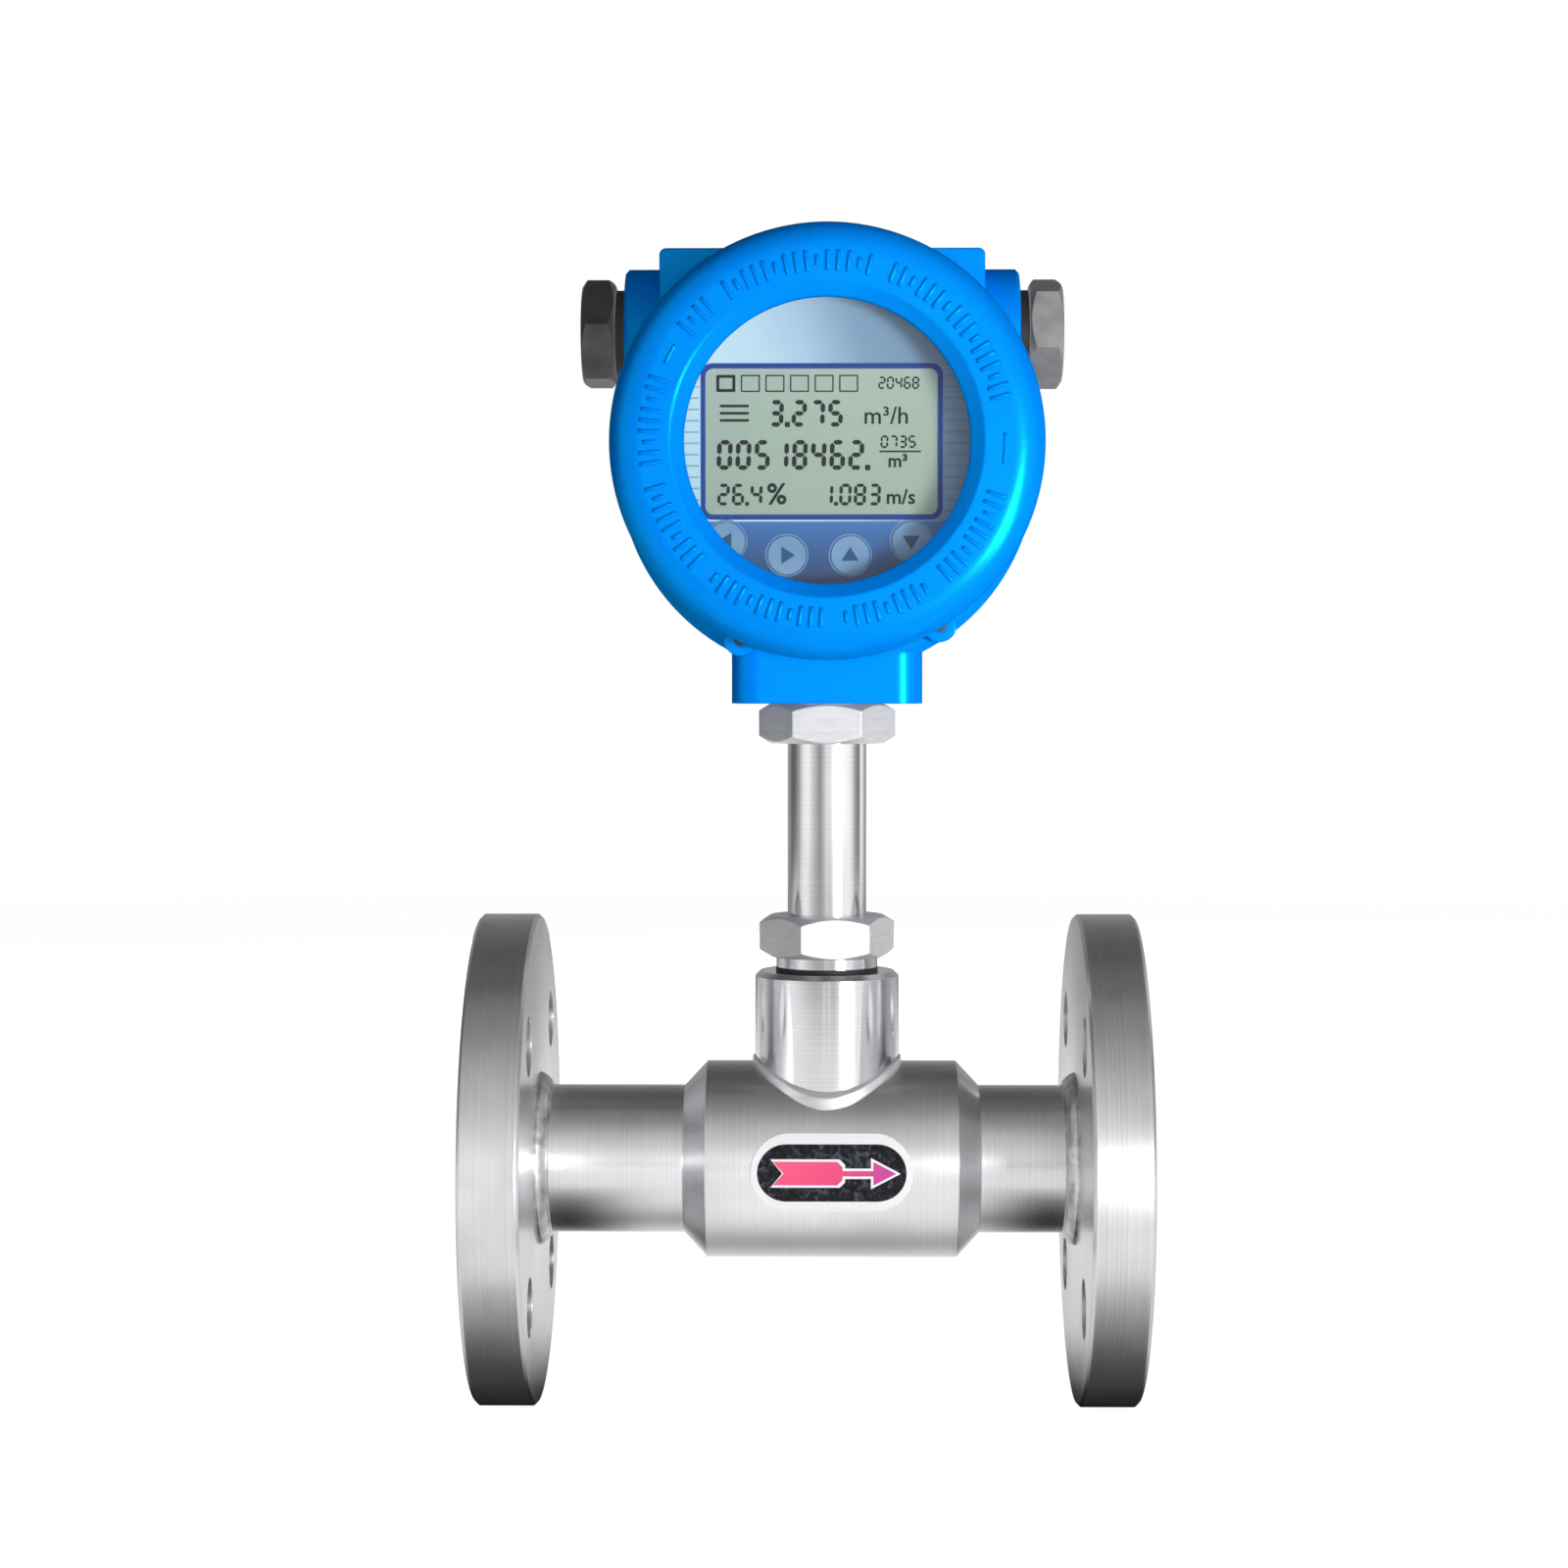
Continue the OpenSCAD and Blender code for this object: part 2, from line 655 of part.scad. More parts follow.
// Outer form of the casting before anything is bored
module housing_form() {
    facing(-drum_half) rotate_extrude() polygon([[0, 0], [drum_d / 2, 0], [drum_d / 2, rim_wall],
        [drum_d / 2 - bore_step, rim_wall + bore_step],
        [drum_d / 2 - bore_step, 2 * drum_half - rim_wall - bore_step],
        [drum_d / 2, 2 * drum_half - rim_wall], [drum_d / 2, 2 * drum_half], [0, 2 * drum_half]]);
    translate([stem_x, 0, neck_z]) linear_extrude(height = head_z - chamber_r - neck_z + rim_wall)
        rounded_rect(neck_w, neck_w, neck_r);
    facing(-shoulder_depth) linear_extrude(height = 2 * shoulder_depth)
        translate([-shoulder_offset, shoulder_top / 2])
            rounded_rect(2 * shoulder_half, shoulder_top, shoulder_r);
    facing(-neck_w / 2) translate([0, -chin_drop, 0]) rotate_extrude() polygon([[0, 0],
        [chin_r - chin_edge, 0], [chin_r, chin_edge], [chin_r, neck_w - chin_edge],
        [chin_r - chin_edge, neck_w], [0, neck_w]]);
    for (side = [-1, 1]) conduit_boss(side);
    rim_lug(-lock_angle);
    rim_lug(earth_angle);
}

// One conduit boss: a round barrel with a chamfered mouth, from inside the drum to its end
module conduit_boss(side) {
    r = boss_wall_r;
    translate([shoulder_x, 0, head_z + conduit_rise]) rotate([0, side * 90, 0])
        rotate_extrude() polygon([[0, 0], [r, 0], [r, conduit_end - rim_chamfer],
            [r - rim_chamfer, conduit_end], [0, conduit_end]]);
}

// Cast two-chamber housing with conduit entries, neck, shoulders and screw lugs
module housing() {
    color("#0a86e8") difference() {
        housing_form();
        // front chamber and its thread bore
        facing(partition_front) cylinder(r = chamber_r, h = drum_half);
        facing(drum_half - thread_depth) cylinder(r = thread_r, h = thread_depth + cut);
        // rear chamber and its thread bore
        facing_back(-partition_back) cylinder(r = chamber_r, h = drum_half + partition_back + cut);
        facing_back(drum_half - thread_depth) cylinder(r = thread_r, h = thread_depth + cut);
        // conduit entries
        for (side = [-1, 1]) translate([shoulder_x, 0, head_z + conduit_rise]) rotate([0, side * 90, 0])
            cylinder(d = conduit_d, h = conduit_end + cut);
        // stem bore and the wire passage above it, which ends in the rear chamber
        on_stem(neck_z - cut) cylinder(r = stem_d / 2 + swivel_gap, h = stem_grip + seat_gap + cut);
        on_stem(stem_top) cylinder(d = passage_d, h = head_z - chamber_r - stem_top + cut);
        // feedthrough hole in the partition
        facing(partition_back - cut) translate([feed_x, feed_rise, 0])
            cylinder(d = feed_d, h = partition_t + 2 * cut);
        lug_hole(-lock_angle);
        lug_hole(earth_angle);
    }
}

// Bushing that carries the wires through the partition
module feedthrough() {
    color("#2a2a2e") facing(partition_back) translate([feed_x, feed_rise, 0]) {
        cylinder(d = feed_d, h = partition_t);
        translate([0, 0, partition_t]) cylinder(d = feed_flange_d, h = feed_flange_t);
        translate([0, 0, -feed_flange_t]) cylinder(d = feed_d - 2 * cut, h = feed_flange_t);
    }
}

// Places one child at each button: left, next, up, enter
module at_button(i) {
    x = [-outer_button_x, -inner_button_x, inner_button_x, outer_button_x];
    drop = [outer_button_drop, inner_button_drop, inner_button_drop, outer_button_drop];
    translate([x[i] - buttons_left, -drop[i], 0]) children();
}

module faceplate() {
    color("#c8d2dc") facing(face_back) difference() {
        cylinder(d = face_d, h = face_t);
        translate([-lcd_left, lcd_rise, -cut]) linear_extrude(height = face_t + 2 * cut)
            rounded_rect(lcd_w, lcd_h, lcd_r);
        for (i = [0:3]) at_button(i) translate([0, 0, -cut])
            cylinder(d = button_d + 2 * button_gap, h = face_t + 2 * cut);
    }
}

// Display module: a frame behind the faceplate with its glass standing into the cut-out
module lcd_module() {
    color("#b7c4b0") facing(lcd_back) translate([-lcd_left, lcd_rise, 0]) {
        linear_extrude(height = lcd_t)
            rounded_rect(lcd_w + 2 * lcd_margin, lcd_h + 2 * lcd_margin, lcd_r);
        linear_extrude(height = lcd_t + face_t - glass_sink)
            rounded_rect(lcd_w - 2 * slip_gap, lcd_h - 2 * slip_gap, lcd_r);
    }
}

// Places one child at each of the four standoffs
module at_standoffs() {
    for (x = [-1, 1]) {
        translate([x * standoff_x, standoff_up, 0]) children();
        translate([x * standoff_x, -standoff_down, 0]) children();
    }
}

// Round circuit board with holes for its screws
module round_board(d) {
    difference() {
        cylinder(d = d, h = board_t);
        at_standoffs() translate([0, 0, -cut]) cylinder(d = screw_d, h = board_t + 2 * cut);
    }
}

module display_board() {
    color("#1f6b3a") facing(display_back) round_board(board_d);
}

// Main board with the processor and the lead's connector
module main_board() {
    color("#1f6b3a") facing(main_back) {
        round_board(board_d);
        translate([-standoff_x, 0, board_t]) linear_extrude(height = board_t) square(standoff_x);
        translate([0, -standoff_down + standoff_d, board_t]) linear_extrude(height = 2 * board_t)
            square(standoff_d, center = true);
    }
}

// Two rows of standoffs: partition to main board, main board to display board
module board_standoffs() {
    color("#c9a24a") facing(0) at_standoffs() {
        translate([0, 0, partition_front]) cylinder(d = standoff_d, h = main_gap);
        translate([0, 0, main_front]) cylinder(d = standoff_d, h = display_back - main_front);
    }
}

module board_screws() {
    color("#9a9ca0") facing(lcd_back) at_standoffs() {
        translate([0, 0, -board_t]) cylinder(d = screw_d, h = board_t);
        difference() {
            cylinder(d = screw_head_d, h = screw_head_t);
            translate([0, 0, screw_head_t]) cube([screw_head_d + cut, board_t / 2, board_t], center = true);
        }
    }
}

// Lead from the neck's wire passage up the back of the power board to the terminals
module board_lead() {
    foot = stem_top + 2 * seat_gap;
    top = head_z + terminal_rise - terminal_h / 2 - seat_gap;
    color("#303236") on_stem(foot) cylinder(d = board_lead_d, h = top - foot);
}

// Board behind the partition, on four short posts
module power_board() {
    color("#1f6b3a") facing(0) {
        translate([0, 0, power_back]) linear_extrude(height = board_t)
            rounded_rect(power_w, power_h, lcd_r);
        for (x = [-1, 1], y = [-1, 1])
            translate([x * power_w * post_x_share, y * power_h * post_z_share, power_front])
                cylinder(d = standoff_d, h = power_gap);
    }
}

// Terminal block with one wire mouth and one screw well per terminal
module terminal_block() {
    pitch = terminal_w / terminal_count;
    color("#2f7d5a") facing(terminal_back) difference() {
        translate([0, terminal_rise, terminal_depth / 2])
            cube([terminal_w, terminal_h, terminal_depth], center = true);
        for (i = [0:terminal_count - 1]) translate([(i + 0.5) * pitch - terminal_w / 2, terminal_rise, 0]) {
            translate([0, terminal_h / 5, -cut])
                cylinder(d = terminal_screw_d + 2 * slip_gap, h = terminal_depth / 2 + cut);
            translate([0, -terminal_h / 2, terminal_depth / 3])
                cube([pitch / 2, terminal_h / 2, terminal_depth / 3], center = true);
        }
    }
}

module terminal_screws() {
    pitch = terminal_w / terminal_count;
    color("#b9bbc0") facing(terminal_back) for (i = [0:terminal_count - 1])
        translate([(i + 0.5) * pitch - terminal_w / 2, terminal_rise + terminal_h / 5, 0])
            translate([0, 0, board_t]) difference() {
                cylinder(d = terminal_screw_d, h = terminal_depth / 2 - board_t);
                cube([2 * terminal_screw_d, board_t / 2, board_t], center = true);
            }
}

// Hexagon socket screw in the lock lug
module cover_lock_screw() {
    color("#8a8c92") facing(drum_half - lug_screw_len) rotate(-lock_angle) translate([0, -lug_r, 0])
        difference() {
            cylinder(d = lug_screw_d, h = lug_screw_len);
            translate([0, 0, lug_screw_len - lug_screw_d / 2])
                cylinder(d = lug_screw_d / 2, h = lug_screw_d, $fn = 6);
        }
}

// Cross slotted earth screw in the other lug
module earth_screw() {
    color("#b08d57") facing(drum_half - lug_screw_len) rotate(earth_angle) translate([0, -lug_r, 0])
        difference() {
            cylinder(d = lug_screw_d, h = lug_screw_len);
            translate([0, 0, lug_screw_len]) cube([2 * lug_screw_d, lug_screw_d / 4, lug_screw_d / 2],
                center = true);
        }
}

// Seal cord round a cover's skirt, in the groove of the cover
module cover_seal_ring() {
    rotate_extrude() translate([groove_r, seat - seal_clear + seal_d / 2])
        circle(d = seal_d - 2 * seal_clear);
}

// Section of a cover's ring: skirt, seat groove, rounded edge, flat front and the bore behind it,
// which steps in to the given radius at the given distance
module cover_section(inner_r, step, depth) {
    front = seat + depth;
    r = cover_edge_r;
    difference() {
        union() {
            polygon([[skirt_in_r, seat - skirt_len], [skirt_r, seat - skirt_len], [skirt_r, seat],
                [cover_r - back_chamfer, seat], [cover_r, seat + back_chamfer], [cover_r, front - r],
                [cover_r - r, front - r], [cover_r - r, front], [inner_r, front],
                [inner_r, step], [skirt_in_r, step]]);
            intersection() {
                translate([cover_r - r, front - r]) circle(r = r);
                translate([cover_r - r, front - r]) square(r);
            }
        }
        translate([groove_r - seal_d / 2 - seal_clear, seat - cut])
            square([seal_d + 2 * seal_clear, groove_depth + cut]);
    }
}

// Screwed front cover with its window, bevel and glass seat
module front_cover() {
    win_r = window_d / 2;
    color("#0a8ef5") facing(0) rotate_extrude() {
        cover_section(glass_seat_r, retainer_back, cover_depth);
        polygon([[win_r, glass_front], [glass_seat_r + cut, glass_front], [glass_seat_r + cut, cover_front],
            [bevel_d / 2, cover_front], [win_r, cover_front - bevel_depth]]);
    }
}

module window_glass() {
    color("#cfe6f2", 0.35) facing(glass_back) cylinder(d = glass_d, h = glass_t);
}

module glass_gasket() {
    color("#222226") facing(gasket_back) ring(glass_d, retainer_bore_d, glass_gasket_t);
}

// Threaded ring that presses the gasket and the glass against the lip
module glass_retainer() {
    color("#9fa3aa") facing(retainer_back) difference() {
        ring(glass_d, retainer_bore_d, retainer_t);
        for (a = [0:90:270]) rotate(a) translate([(glass_d + retainer_bore_d) / 4, 0, 0])
            cube([glass_d - retainer_bore_d, back_chamfer, back_chamfer], center = true);
    }
}

module front_cover_seal() {
    color("#1b1b1d") facing(0) cover_seal_ring();
}

// Blind rear cover: ring, closed face and a raised round rib
module rear_cover() {
    color("#0a8ef5") facing_back(0) {
        rotate_extrude() cover_section(skirt_in_r, seat, rear_depth);
        translate([0, 0, seat + rear_depth - rear_face_t])
            cylinder(r = cover_r - cover_edge_r, h = rear_face_t);
        translate([0, 0, seat + rear_depth]) ring(rear_rib_d, rear_rib_d - 4 * rear_rib_t, rear_rib_t);
    }
}

module rear_cover_seal() {
    color("#1b1b1d") facing_back(0) cover_seal_ring();
}

// Hollow hexagon plug: chamfered head outside, thread inside the conduit entry
module conduit_plug(turn) {
    difference() {
        union() {
            translate([0, 0, conduit_end + seat_gap + plug_seal_t + seat_gap]) rotate(turn)
                hex_blank(plug_af, plug_head_t);
            translate([0, 0, conduit_end - plug_thread_len])
                cylinder(d = conduit_d - 2 * thread_gap,
                    h = plug_thread_len + plug_seal_t + 2 * seat_gap + cut);
        }
        translate([0, 0, conduit_end - plug_thread_len - cut])
            cylinder(d = plug_bore_d, h = plug_thread_len + plug_seal_t + cut);
    }
}

module plug_seal() {
    translate([0, 0, conduit_end + seat_gap]) ring(plug_seal_d, conduit_d, plug_seal_t);
}

// Puts a plug or its seal into the left or the right conduit entry
module in_conduit(side)
    translate([shoulder_x, 0, head_z + conduit_rise]) rotate([0, side * 90, 0]) children();

module left_plug() {
    color("#3f3f42") in_conduit(-1) conduit_plug(left_plug_turn);
}

module right_plug() {
    color("#55555c") in_conduit(1) conduit_plug(right_plug_turn);
}

module left_plug_seal() {
    color("#141416") in_conduit(-1) plug_seal();
}

module right_plug_seal() {
    color("#141416") in_conduit(1) plug_seal();
}

// Push button: disc in the faceplate, flange behind it, stem towards the board
module push_button(i) {
    flange_front = face_back - button_gap;
    flange_back = flange_front - button_flange_t;
    foot = lcd_back + button_travel + button_stem_gap;
    color("#e6e8ee") facing(0) at_button(i) {
        translate([0, 0, flange_back]) cylinder(d = button_d, h = face_depth + button_proud - flange_back);
        translate([0, 0, flange_back]) cylinder(d = button_flange_d, h = button_flange_t);
        translate([0, 0, foot]) cylinder(d = button_stem_d, h = flange_back - foot);
    }
}

module button_left() push_button(0);
module button_next() push_button(1);
module button_up() push_button(2);
module button_enter() push_button(3);

inlet_flange();
outlet_flange();
inlet_pipe();
outlet_pipe();
inlet_weld();
outlet_weld();
flow_body();
sensor_boss();
boss_weld();
arrow_plate();
gland_gasket();
gland_body();
gland_ferrule();
gland_nut();
stem_tube();
probe_tube();
sensor_guard();
heated_sensor();
reference_sensor();
sensor_lead();
lock_nut();
swivel_seal();
housing();
feedthrough();
faceplate();
lcd_module();
display_board();
main_board();
board_standoffs();
board_screws();
board_lead();
power_board();
terminal_block();
terminal_screws();
cover_lock_screw();
earth_screw();
front_cover_seal();
front_cover();
window_glass();
glass_gasket();
glass_retainer();
rear_cover_seal();
rear_cover();
left_plug_seal();
left_plug();
right_plug_seal();
right_plug();
button_left();
button_next();
button_up();
button_enter();
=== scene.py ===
# Looks for the inline thermal mass flow meter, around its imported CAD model.
import json
import math

import bmesh
import bpy
from mathutils import Matrix, Vector

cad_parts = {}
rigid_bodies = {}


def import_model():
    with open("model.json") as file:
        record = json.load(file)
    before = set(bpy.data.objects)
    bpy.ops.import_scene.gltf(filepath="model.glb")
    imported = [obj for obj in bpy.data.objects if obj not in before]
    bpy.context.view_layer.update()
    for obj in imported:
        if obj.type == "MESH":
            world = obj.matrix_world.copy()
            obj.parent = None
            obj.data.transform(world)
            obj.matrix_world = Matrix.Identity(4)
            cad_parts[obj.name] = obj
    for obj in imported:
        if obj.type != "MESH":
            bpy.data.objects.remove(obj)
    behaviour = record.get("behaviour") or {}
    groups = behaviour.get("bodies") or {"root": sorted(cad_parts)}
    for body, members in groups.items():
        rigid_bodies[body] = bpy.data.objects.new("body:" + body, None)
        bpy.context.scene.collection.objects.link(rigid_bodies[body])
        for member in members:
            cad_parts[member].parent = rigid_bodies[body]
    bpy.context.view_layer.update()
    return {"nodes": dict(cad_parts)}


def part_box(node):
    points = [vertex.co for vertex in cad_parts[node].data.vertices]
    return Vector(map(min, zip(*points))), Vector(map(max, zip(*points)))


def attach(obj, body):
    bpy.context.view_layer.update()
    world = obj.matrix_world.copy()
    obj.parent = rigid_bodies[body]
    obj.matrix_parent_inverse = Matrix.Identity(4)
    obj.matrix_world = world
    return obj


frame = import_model()
nodes = frame["nodes"]
mm = 0.001
print("frame loaded:", len(nodes), "nodes")

# Camera: from the shape of the flange ellipses in the photograph
cameraFacts = {
    "place": (0.1061, -1.0113, 0.1538),
    "yaw": -0.0131,         # radians to the right of straight ahead
    "pitch": 0.0383,        # radians downwards
    "lens": 75.94,          # mm
    "sensor": 36,           # mm
}
cameraData = bpy.data.cameras.new("camera")
cameraData.lens = cameraFacts["lens"]
cameraData.sensor_width = cameraFacts["sensor"]
camera = bpy.data.objects.new("camera", cameraData)
bpy.context.scene.collection.objects.link(camera)
camera.location = cameraFacts["place"]
yaw, pitch = cameraFacts["yaw"], cameraFacts["pitch"]
look = Vector((math.sin(yaw) * math.cos(pitch), math.cos(yaw) * math.cos(pitch), -math.sin(pitch)))
camera.rotation_euler = look.to_track_quat("-Z", "Y").to_euler()
bpy.context.scene.camera = camera
bpy.context.scene.view_settings.view_transform = "Standard"

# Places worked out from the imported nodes
stemLow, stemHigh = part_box("stem_tube")
coverLow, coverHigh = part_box("front_cover")
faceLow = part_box("faceplate")[0]
lcdLow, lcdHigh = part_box("lcd_module")
flangeLow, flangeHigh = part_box("inlet_flange")
stemX = (stemLow.x + stemHigh.x) / 2
headZ = (coverLow.z + coverHigh.z) / 2
coverFront = coverLow.y                      # the cover's flat front ring
faceFront = faceLow.y                        # front of the faceplate
lcdFront = lcdLow.y                          # front of the display glass
lcdMidX = (lcdLow.x + lcdHigh.x) / 2
lcdMidZ = (lcdLow.z + lcdHigh.z) / 2


def srgb(code):
    # sRGB hex to the linear colour that the shaders want
    parts = [int(code[i:i + 2], 16) / 255 for i in (1, 3, 5)]
    return [c / 12.92 if c <= 0.04045 else ((c + 0.055) / 1.055) ** 2.4 for c in parts] + [1.0]


def addNode(tree, kind, settings=None, **inputs):
    # One node: settings go on the node, where a word alone is its operation and stops are a ramp's places
    # and hex colours; inputs go on its sockets, linked where they are sockets or nodes
    node = tree.nodes.new(kind)
    if isinstance(settings, str):
        settings = {"operation": settings}
    for key, value in (settings or {}).items():
        if key != "stops":
            setattr(node, key, value)
            continue
        elements = node.color_ramp.elements
        while len(elements) < len(value):
            elements.new(0.5)
        for element, (place, code) in zip(elements, value):
            element.position = place
            element.color = srgb(code)
    for key, value in inputs.items():
        name = int(key[1:]) if key[0] == "i" and key[1:].isdigit() else key.replace("_", " ")
        if isinstance(value, bpy.types.Node):
            value = value.outputs[0]
        if isinstance(value, bpy.types.NodeSocket):
            tree.links.new(value, node.inputs[name])
        else:
            node.inputs[name].default_value = value
    return node


def newMaterial(name):
    # An empty node material with its output and Principled shader
    material = bpy.data.materials.new(name)
    material.use_nodes = True
    tree = material.node_tree
    tree.nodes.clear()
    shader = addNode(tree, "ShaderNodeBsdfPrincipled")
    output = addNode(tree, "ShaderNodeOutputMaterial")
    tree.links.new(shader.outputs[0], output.inputs[0])
    return material, tree, shader


def objectCoords(tree, centre=(0, 0, 0)):
    # Object coordinates in millimetres, counted from a centre given in metres
    coords = addNode(tree, "ShaderNodeTexCoord")
    mapped = addNode(tree, "ShaderNodeMapping", Vector=coords.outputs["Object"],
                     Location=[-c / mm for c in centre], Scale=(1 / mm, 1 / mm, 1 / mm))
    return mapped.outputs[0]


def shadeBy(tree, shader, value, stops, roughness):
    # One pattern gives both the colour and the roughness; returns what sets the roughness
    colour = addNode(tree, "ShaderNodeValToRGB", {"stops": stops}, Fac=value)
    tree.links.new(colour.outputs[0], shader.inputs["Base Color"])
    gloss = addNode(tree, "ShaderNodeMapRange", Value=value, To_Min=roughness[0], To_Max=roughness[1])
    tree.links.new(gloss.outputs[0], shader.inputs["Roughness"])
    return gloss


def putOnOutput(tree, shader):
    # Makes a shader what the material shows
    output = [n for n in tree.nodes if n.type == "OUTPUT_MATERIAL"][0]
    tree.links.new(shader.outputs[0], output.inputs[0])


bumpDepth = 0.05 * mm       # full height of every surface texture


def roundedEdges(tree, radius, height, strength):
    # Normal with softened edges, and a bump from the height on top
    edge = addNode(tree, "ShaderNodeBevel", {"samples": 4}, Radius=radius)
    return addNode(tree, "ShaderNodeBump", Strength=strength, Distance=bumpDepth, Height=height,
                   Normal=edge.outputs[0]).outputs[0]


# Materials: steel
steelFinish = {
    "flangeRing": 0.7,      # mm between the lathe's feed marks on the flanges
    "pipeRing": 0.5,        # mm between the polishing marks on the pipes
    "smudge": 22.0,         # mm across the soft cloudy patches
}


def turnedMetal(name, axis, centre, marks, colours, roughness, bump, edge=0.35, stretch=0.55,
                metallic=1.0):
    # Stainless steel turned on a lathe: marks run round the axis, on faces and on rims alike, and draw
    # the highlights out across themselves by the stretch
    material, tree, shader = newMaterial(name)
    spot = objectCoords(tree, centre)
    place = addNode(tree, "ShaderNodeSeparateXYZ", Vector=spot)
    along = place.outputs["XYZ".index(axis)]
    across = [place.outputs[i] for i in range(3) if i != "XYZ".index(axis)]
    flat = addNode(tree, "ShaderNodeCombineXYZ", X=across[0], Y=across[1])
    radius = addNode(tree, "ShaderNodeVectorMath", "LENGTH", i0=flat.outputs[0])
    lane = addNode(tree, "ShaderNodeCombineXYZ", X=radius.outputs["Value"], Y=along)
    rings = addNode(tree, "ShaderNodeTexNoise", {"noise_dimensions": "2D"}, Vector=lane.outputs[0],
                    Scale=1 / marks, Detail=3.0, Roughness=0.6)
    clouds = addNode(tree, "ShaderNodeTexNoise", Vector=spot, Scale=1 / steelFinish["smudge"], Detail=2.0)
    shares = [addNode(tree, "ShaderNodeMath", "MULTIPLY", i0=noise.outputs["Fac"], i1=0.5)
              for noise in (rings, clouds)]
    mixed = addNode(tree, "ShaderNodeMath", "ADD", i0=shares[0], i1=shares[1])
    shadeBy(tree, shader, mixed, [(0.3, colours[0]), (0.7, colours[1])], roughness)
    shader.inputs["Metallic"].default_value = metallic
    shader.inputs["Anisotropic"].default_value = stretch
    shader.inputs["Anisotropic Rotation"].default_value = 0.25
    grooves = addNode(tree, "ShaderNodeVectorMath", "CROSS_PRODUCT",
                      i0=[float(letter == axis) for letter in "XYZ"], i1=spot)
    tree.links.new(grooves.outputs[0], shader.inputs["Tangent"])
    tree.links.new(roundedEdges(tree, edge * mm, rings.outputs["Fac"], bump), shader.inputs["Normal"])
    return material


stemCentre = (stemX, 0, 0)
headCentre = (stemX, 0, headZ)
# Facing cuts on plate flanges: close rings, satin, bright where the light crosses them
flangeSteel = turnedMetal("turnedStainlessFlange", "X", (0, 0, 0), steelFinish["flangeRing"],
                          ("#cfd0d3", "#efeff1"), (0.26, 0.34), 0.07, 0.6)
# Drawn and polished pipe: fine marks round it, clearer mirror than the flanges
pipeSteel = turnedMetal("polishedStainlessPipe", "X", (0, 0, 0), steelFinish["pipeRing"],
                        ("#dadbde", "#f4f4f5"), (0.2, 0.3), 0.05)
# Centreless ground stem: fine marks round the upright axis
stemSteel = turnedMetal("groundStainlessStem", "Z", stemCentre, steelFinish["pipeRing"],
                        ("#dcdde0", "#f5f5f6"), (0.1, 0.15), 0.03, stretch=0.0)
# Hexagon bar: flats are rolled and bead blasted a little, so they scatter more
nutSteel = turnedMetal("machinedStainlessNut", "Z", stemCentre, 1.4,
                       ("#dadadc", "#f2f2f3"), (0.28, 0.36), 0.08, 0.6, 0.2, 0.6)
# Ground probe pieces: fine marks round them, greyer than the stem
sensorSteel = turnedMetal("groundStainlessProbe", "Z", stemCentre, 0.6,
                          ("#c4c6ca", "#e6e7ea"), (0.2, 0.3), 0.1)
# Plated steel screws: turned heads in a duller grey
screwSteel = turnedMetal("platedSteelScrew", "Y", headCentre, 0.7,
                         ("#a4a6aa", "#cfd0d3"), (0.25, 0.35), 0.1, 0.15)


weldLook = {
    "patch": 5.0,           # mm across the patches of heat tint
    "grit": 0.8,            # mm across the marks of the brush
    "tint": [(0.3, "#b2afaa"), (0.5, "#d2d2d3"), (0.7, "#e8e9ea")],
    "roughness": (0.22, 0.42),
    "gritShare": 0.25,      # share of the full texture height
}


def weldMetal():
    # TIG weld left as welded and brushed: dull silver with straw and grey heat tint along its toes
    material, tree, shader = newMaterial("brushedWeldBead")
    coords = objectCoords(tree)
    patch = addNode(tree, "ShaderNodeTexNoise", Vector=coords, Scale=1 / weldLook["patch"], Detail=4.0)
    shadeBy(tree, shader, patch.outputs["Fac"], weldLook["tint"], weldLook["roughness"])
    shader.inputs["Metallic"].default_value = 1.0
    grit = addNode(tree, "ShaderNodeTexNoise", Vector=coords, Scale=1 / weldLook["grit"], Detail=2.0)
    bump = addNode(tree, "ShaderNodeBump", Strength=weldLook["gritShare"], Distance=bumpDepth,
                   Height=grit.outputs["Fac"])
    tree.links.new(bump.outputs[0], shader.inputs["Normal"])
    return material


enamelLook = {
    "drift": 60.0,          # mm across the slow changes of tone
    "peel": 1.6,            # mm across the orange peel
    "edge": 1.2 * mm,       # softening of the casting's edges
    "roughness": (0.24, 0.3),
    "sheen": "#18ecff",
    "sheenShare": 0.11,
}


def enamel(name, light, dark):
    # Sprayed and stoved enamel on an aluminium casting: even colour, a thin cyan sheen of the same strength
    # from every side, faint orange peel
    material, tree, shader = newMaterial(name)
    coords = objectCoords(tree)
    drift = addNode(tree, "ShaderNodeTexNoise", Vector=coords, Scale=1 / enamelLook["drift"], Detail=2.0)
    roughness = shadeBy(tree, shader, drift.outputs["Fac"], [(0.3, dark), (0.7, light)],
                        enamelLook["roughness"])
    skin = addNode(tree, "ShaderNodeTexNoise", Vector=coords, Scale=1 / enamelLook["peel"], Detail=1.0)
    surface = roundedEdges(tree, enamelLook["edge"], skin.outputs["Fac"], 0.1)
    tree.links.new(surface, shader.inputs["Normal"])
    shader.inputs["Specular IOR Level"].default_value = 0.0
    sheen = addNode(tree, "ShaderNodeBsdfGlossy", Color=srgb(enamelLook["sheen"]), Roughness=roughness,
                    Normal=surface)
    both = addNode(tree, "ShaderNodeMixShader", Fac=enamelLook["sheenShare"], i1=shader, i2=sheen)
    putOnOutput(tree, both)
    return material


toneSize = 9.0              # mm across the slow changes of tone in a plastic
wearSize = 7.0              # mm across the marks of handling on a machined metal
inkSize = 2.5               # mm across the thinner places of a printed ink


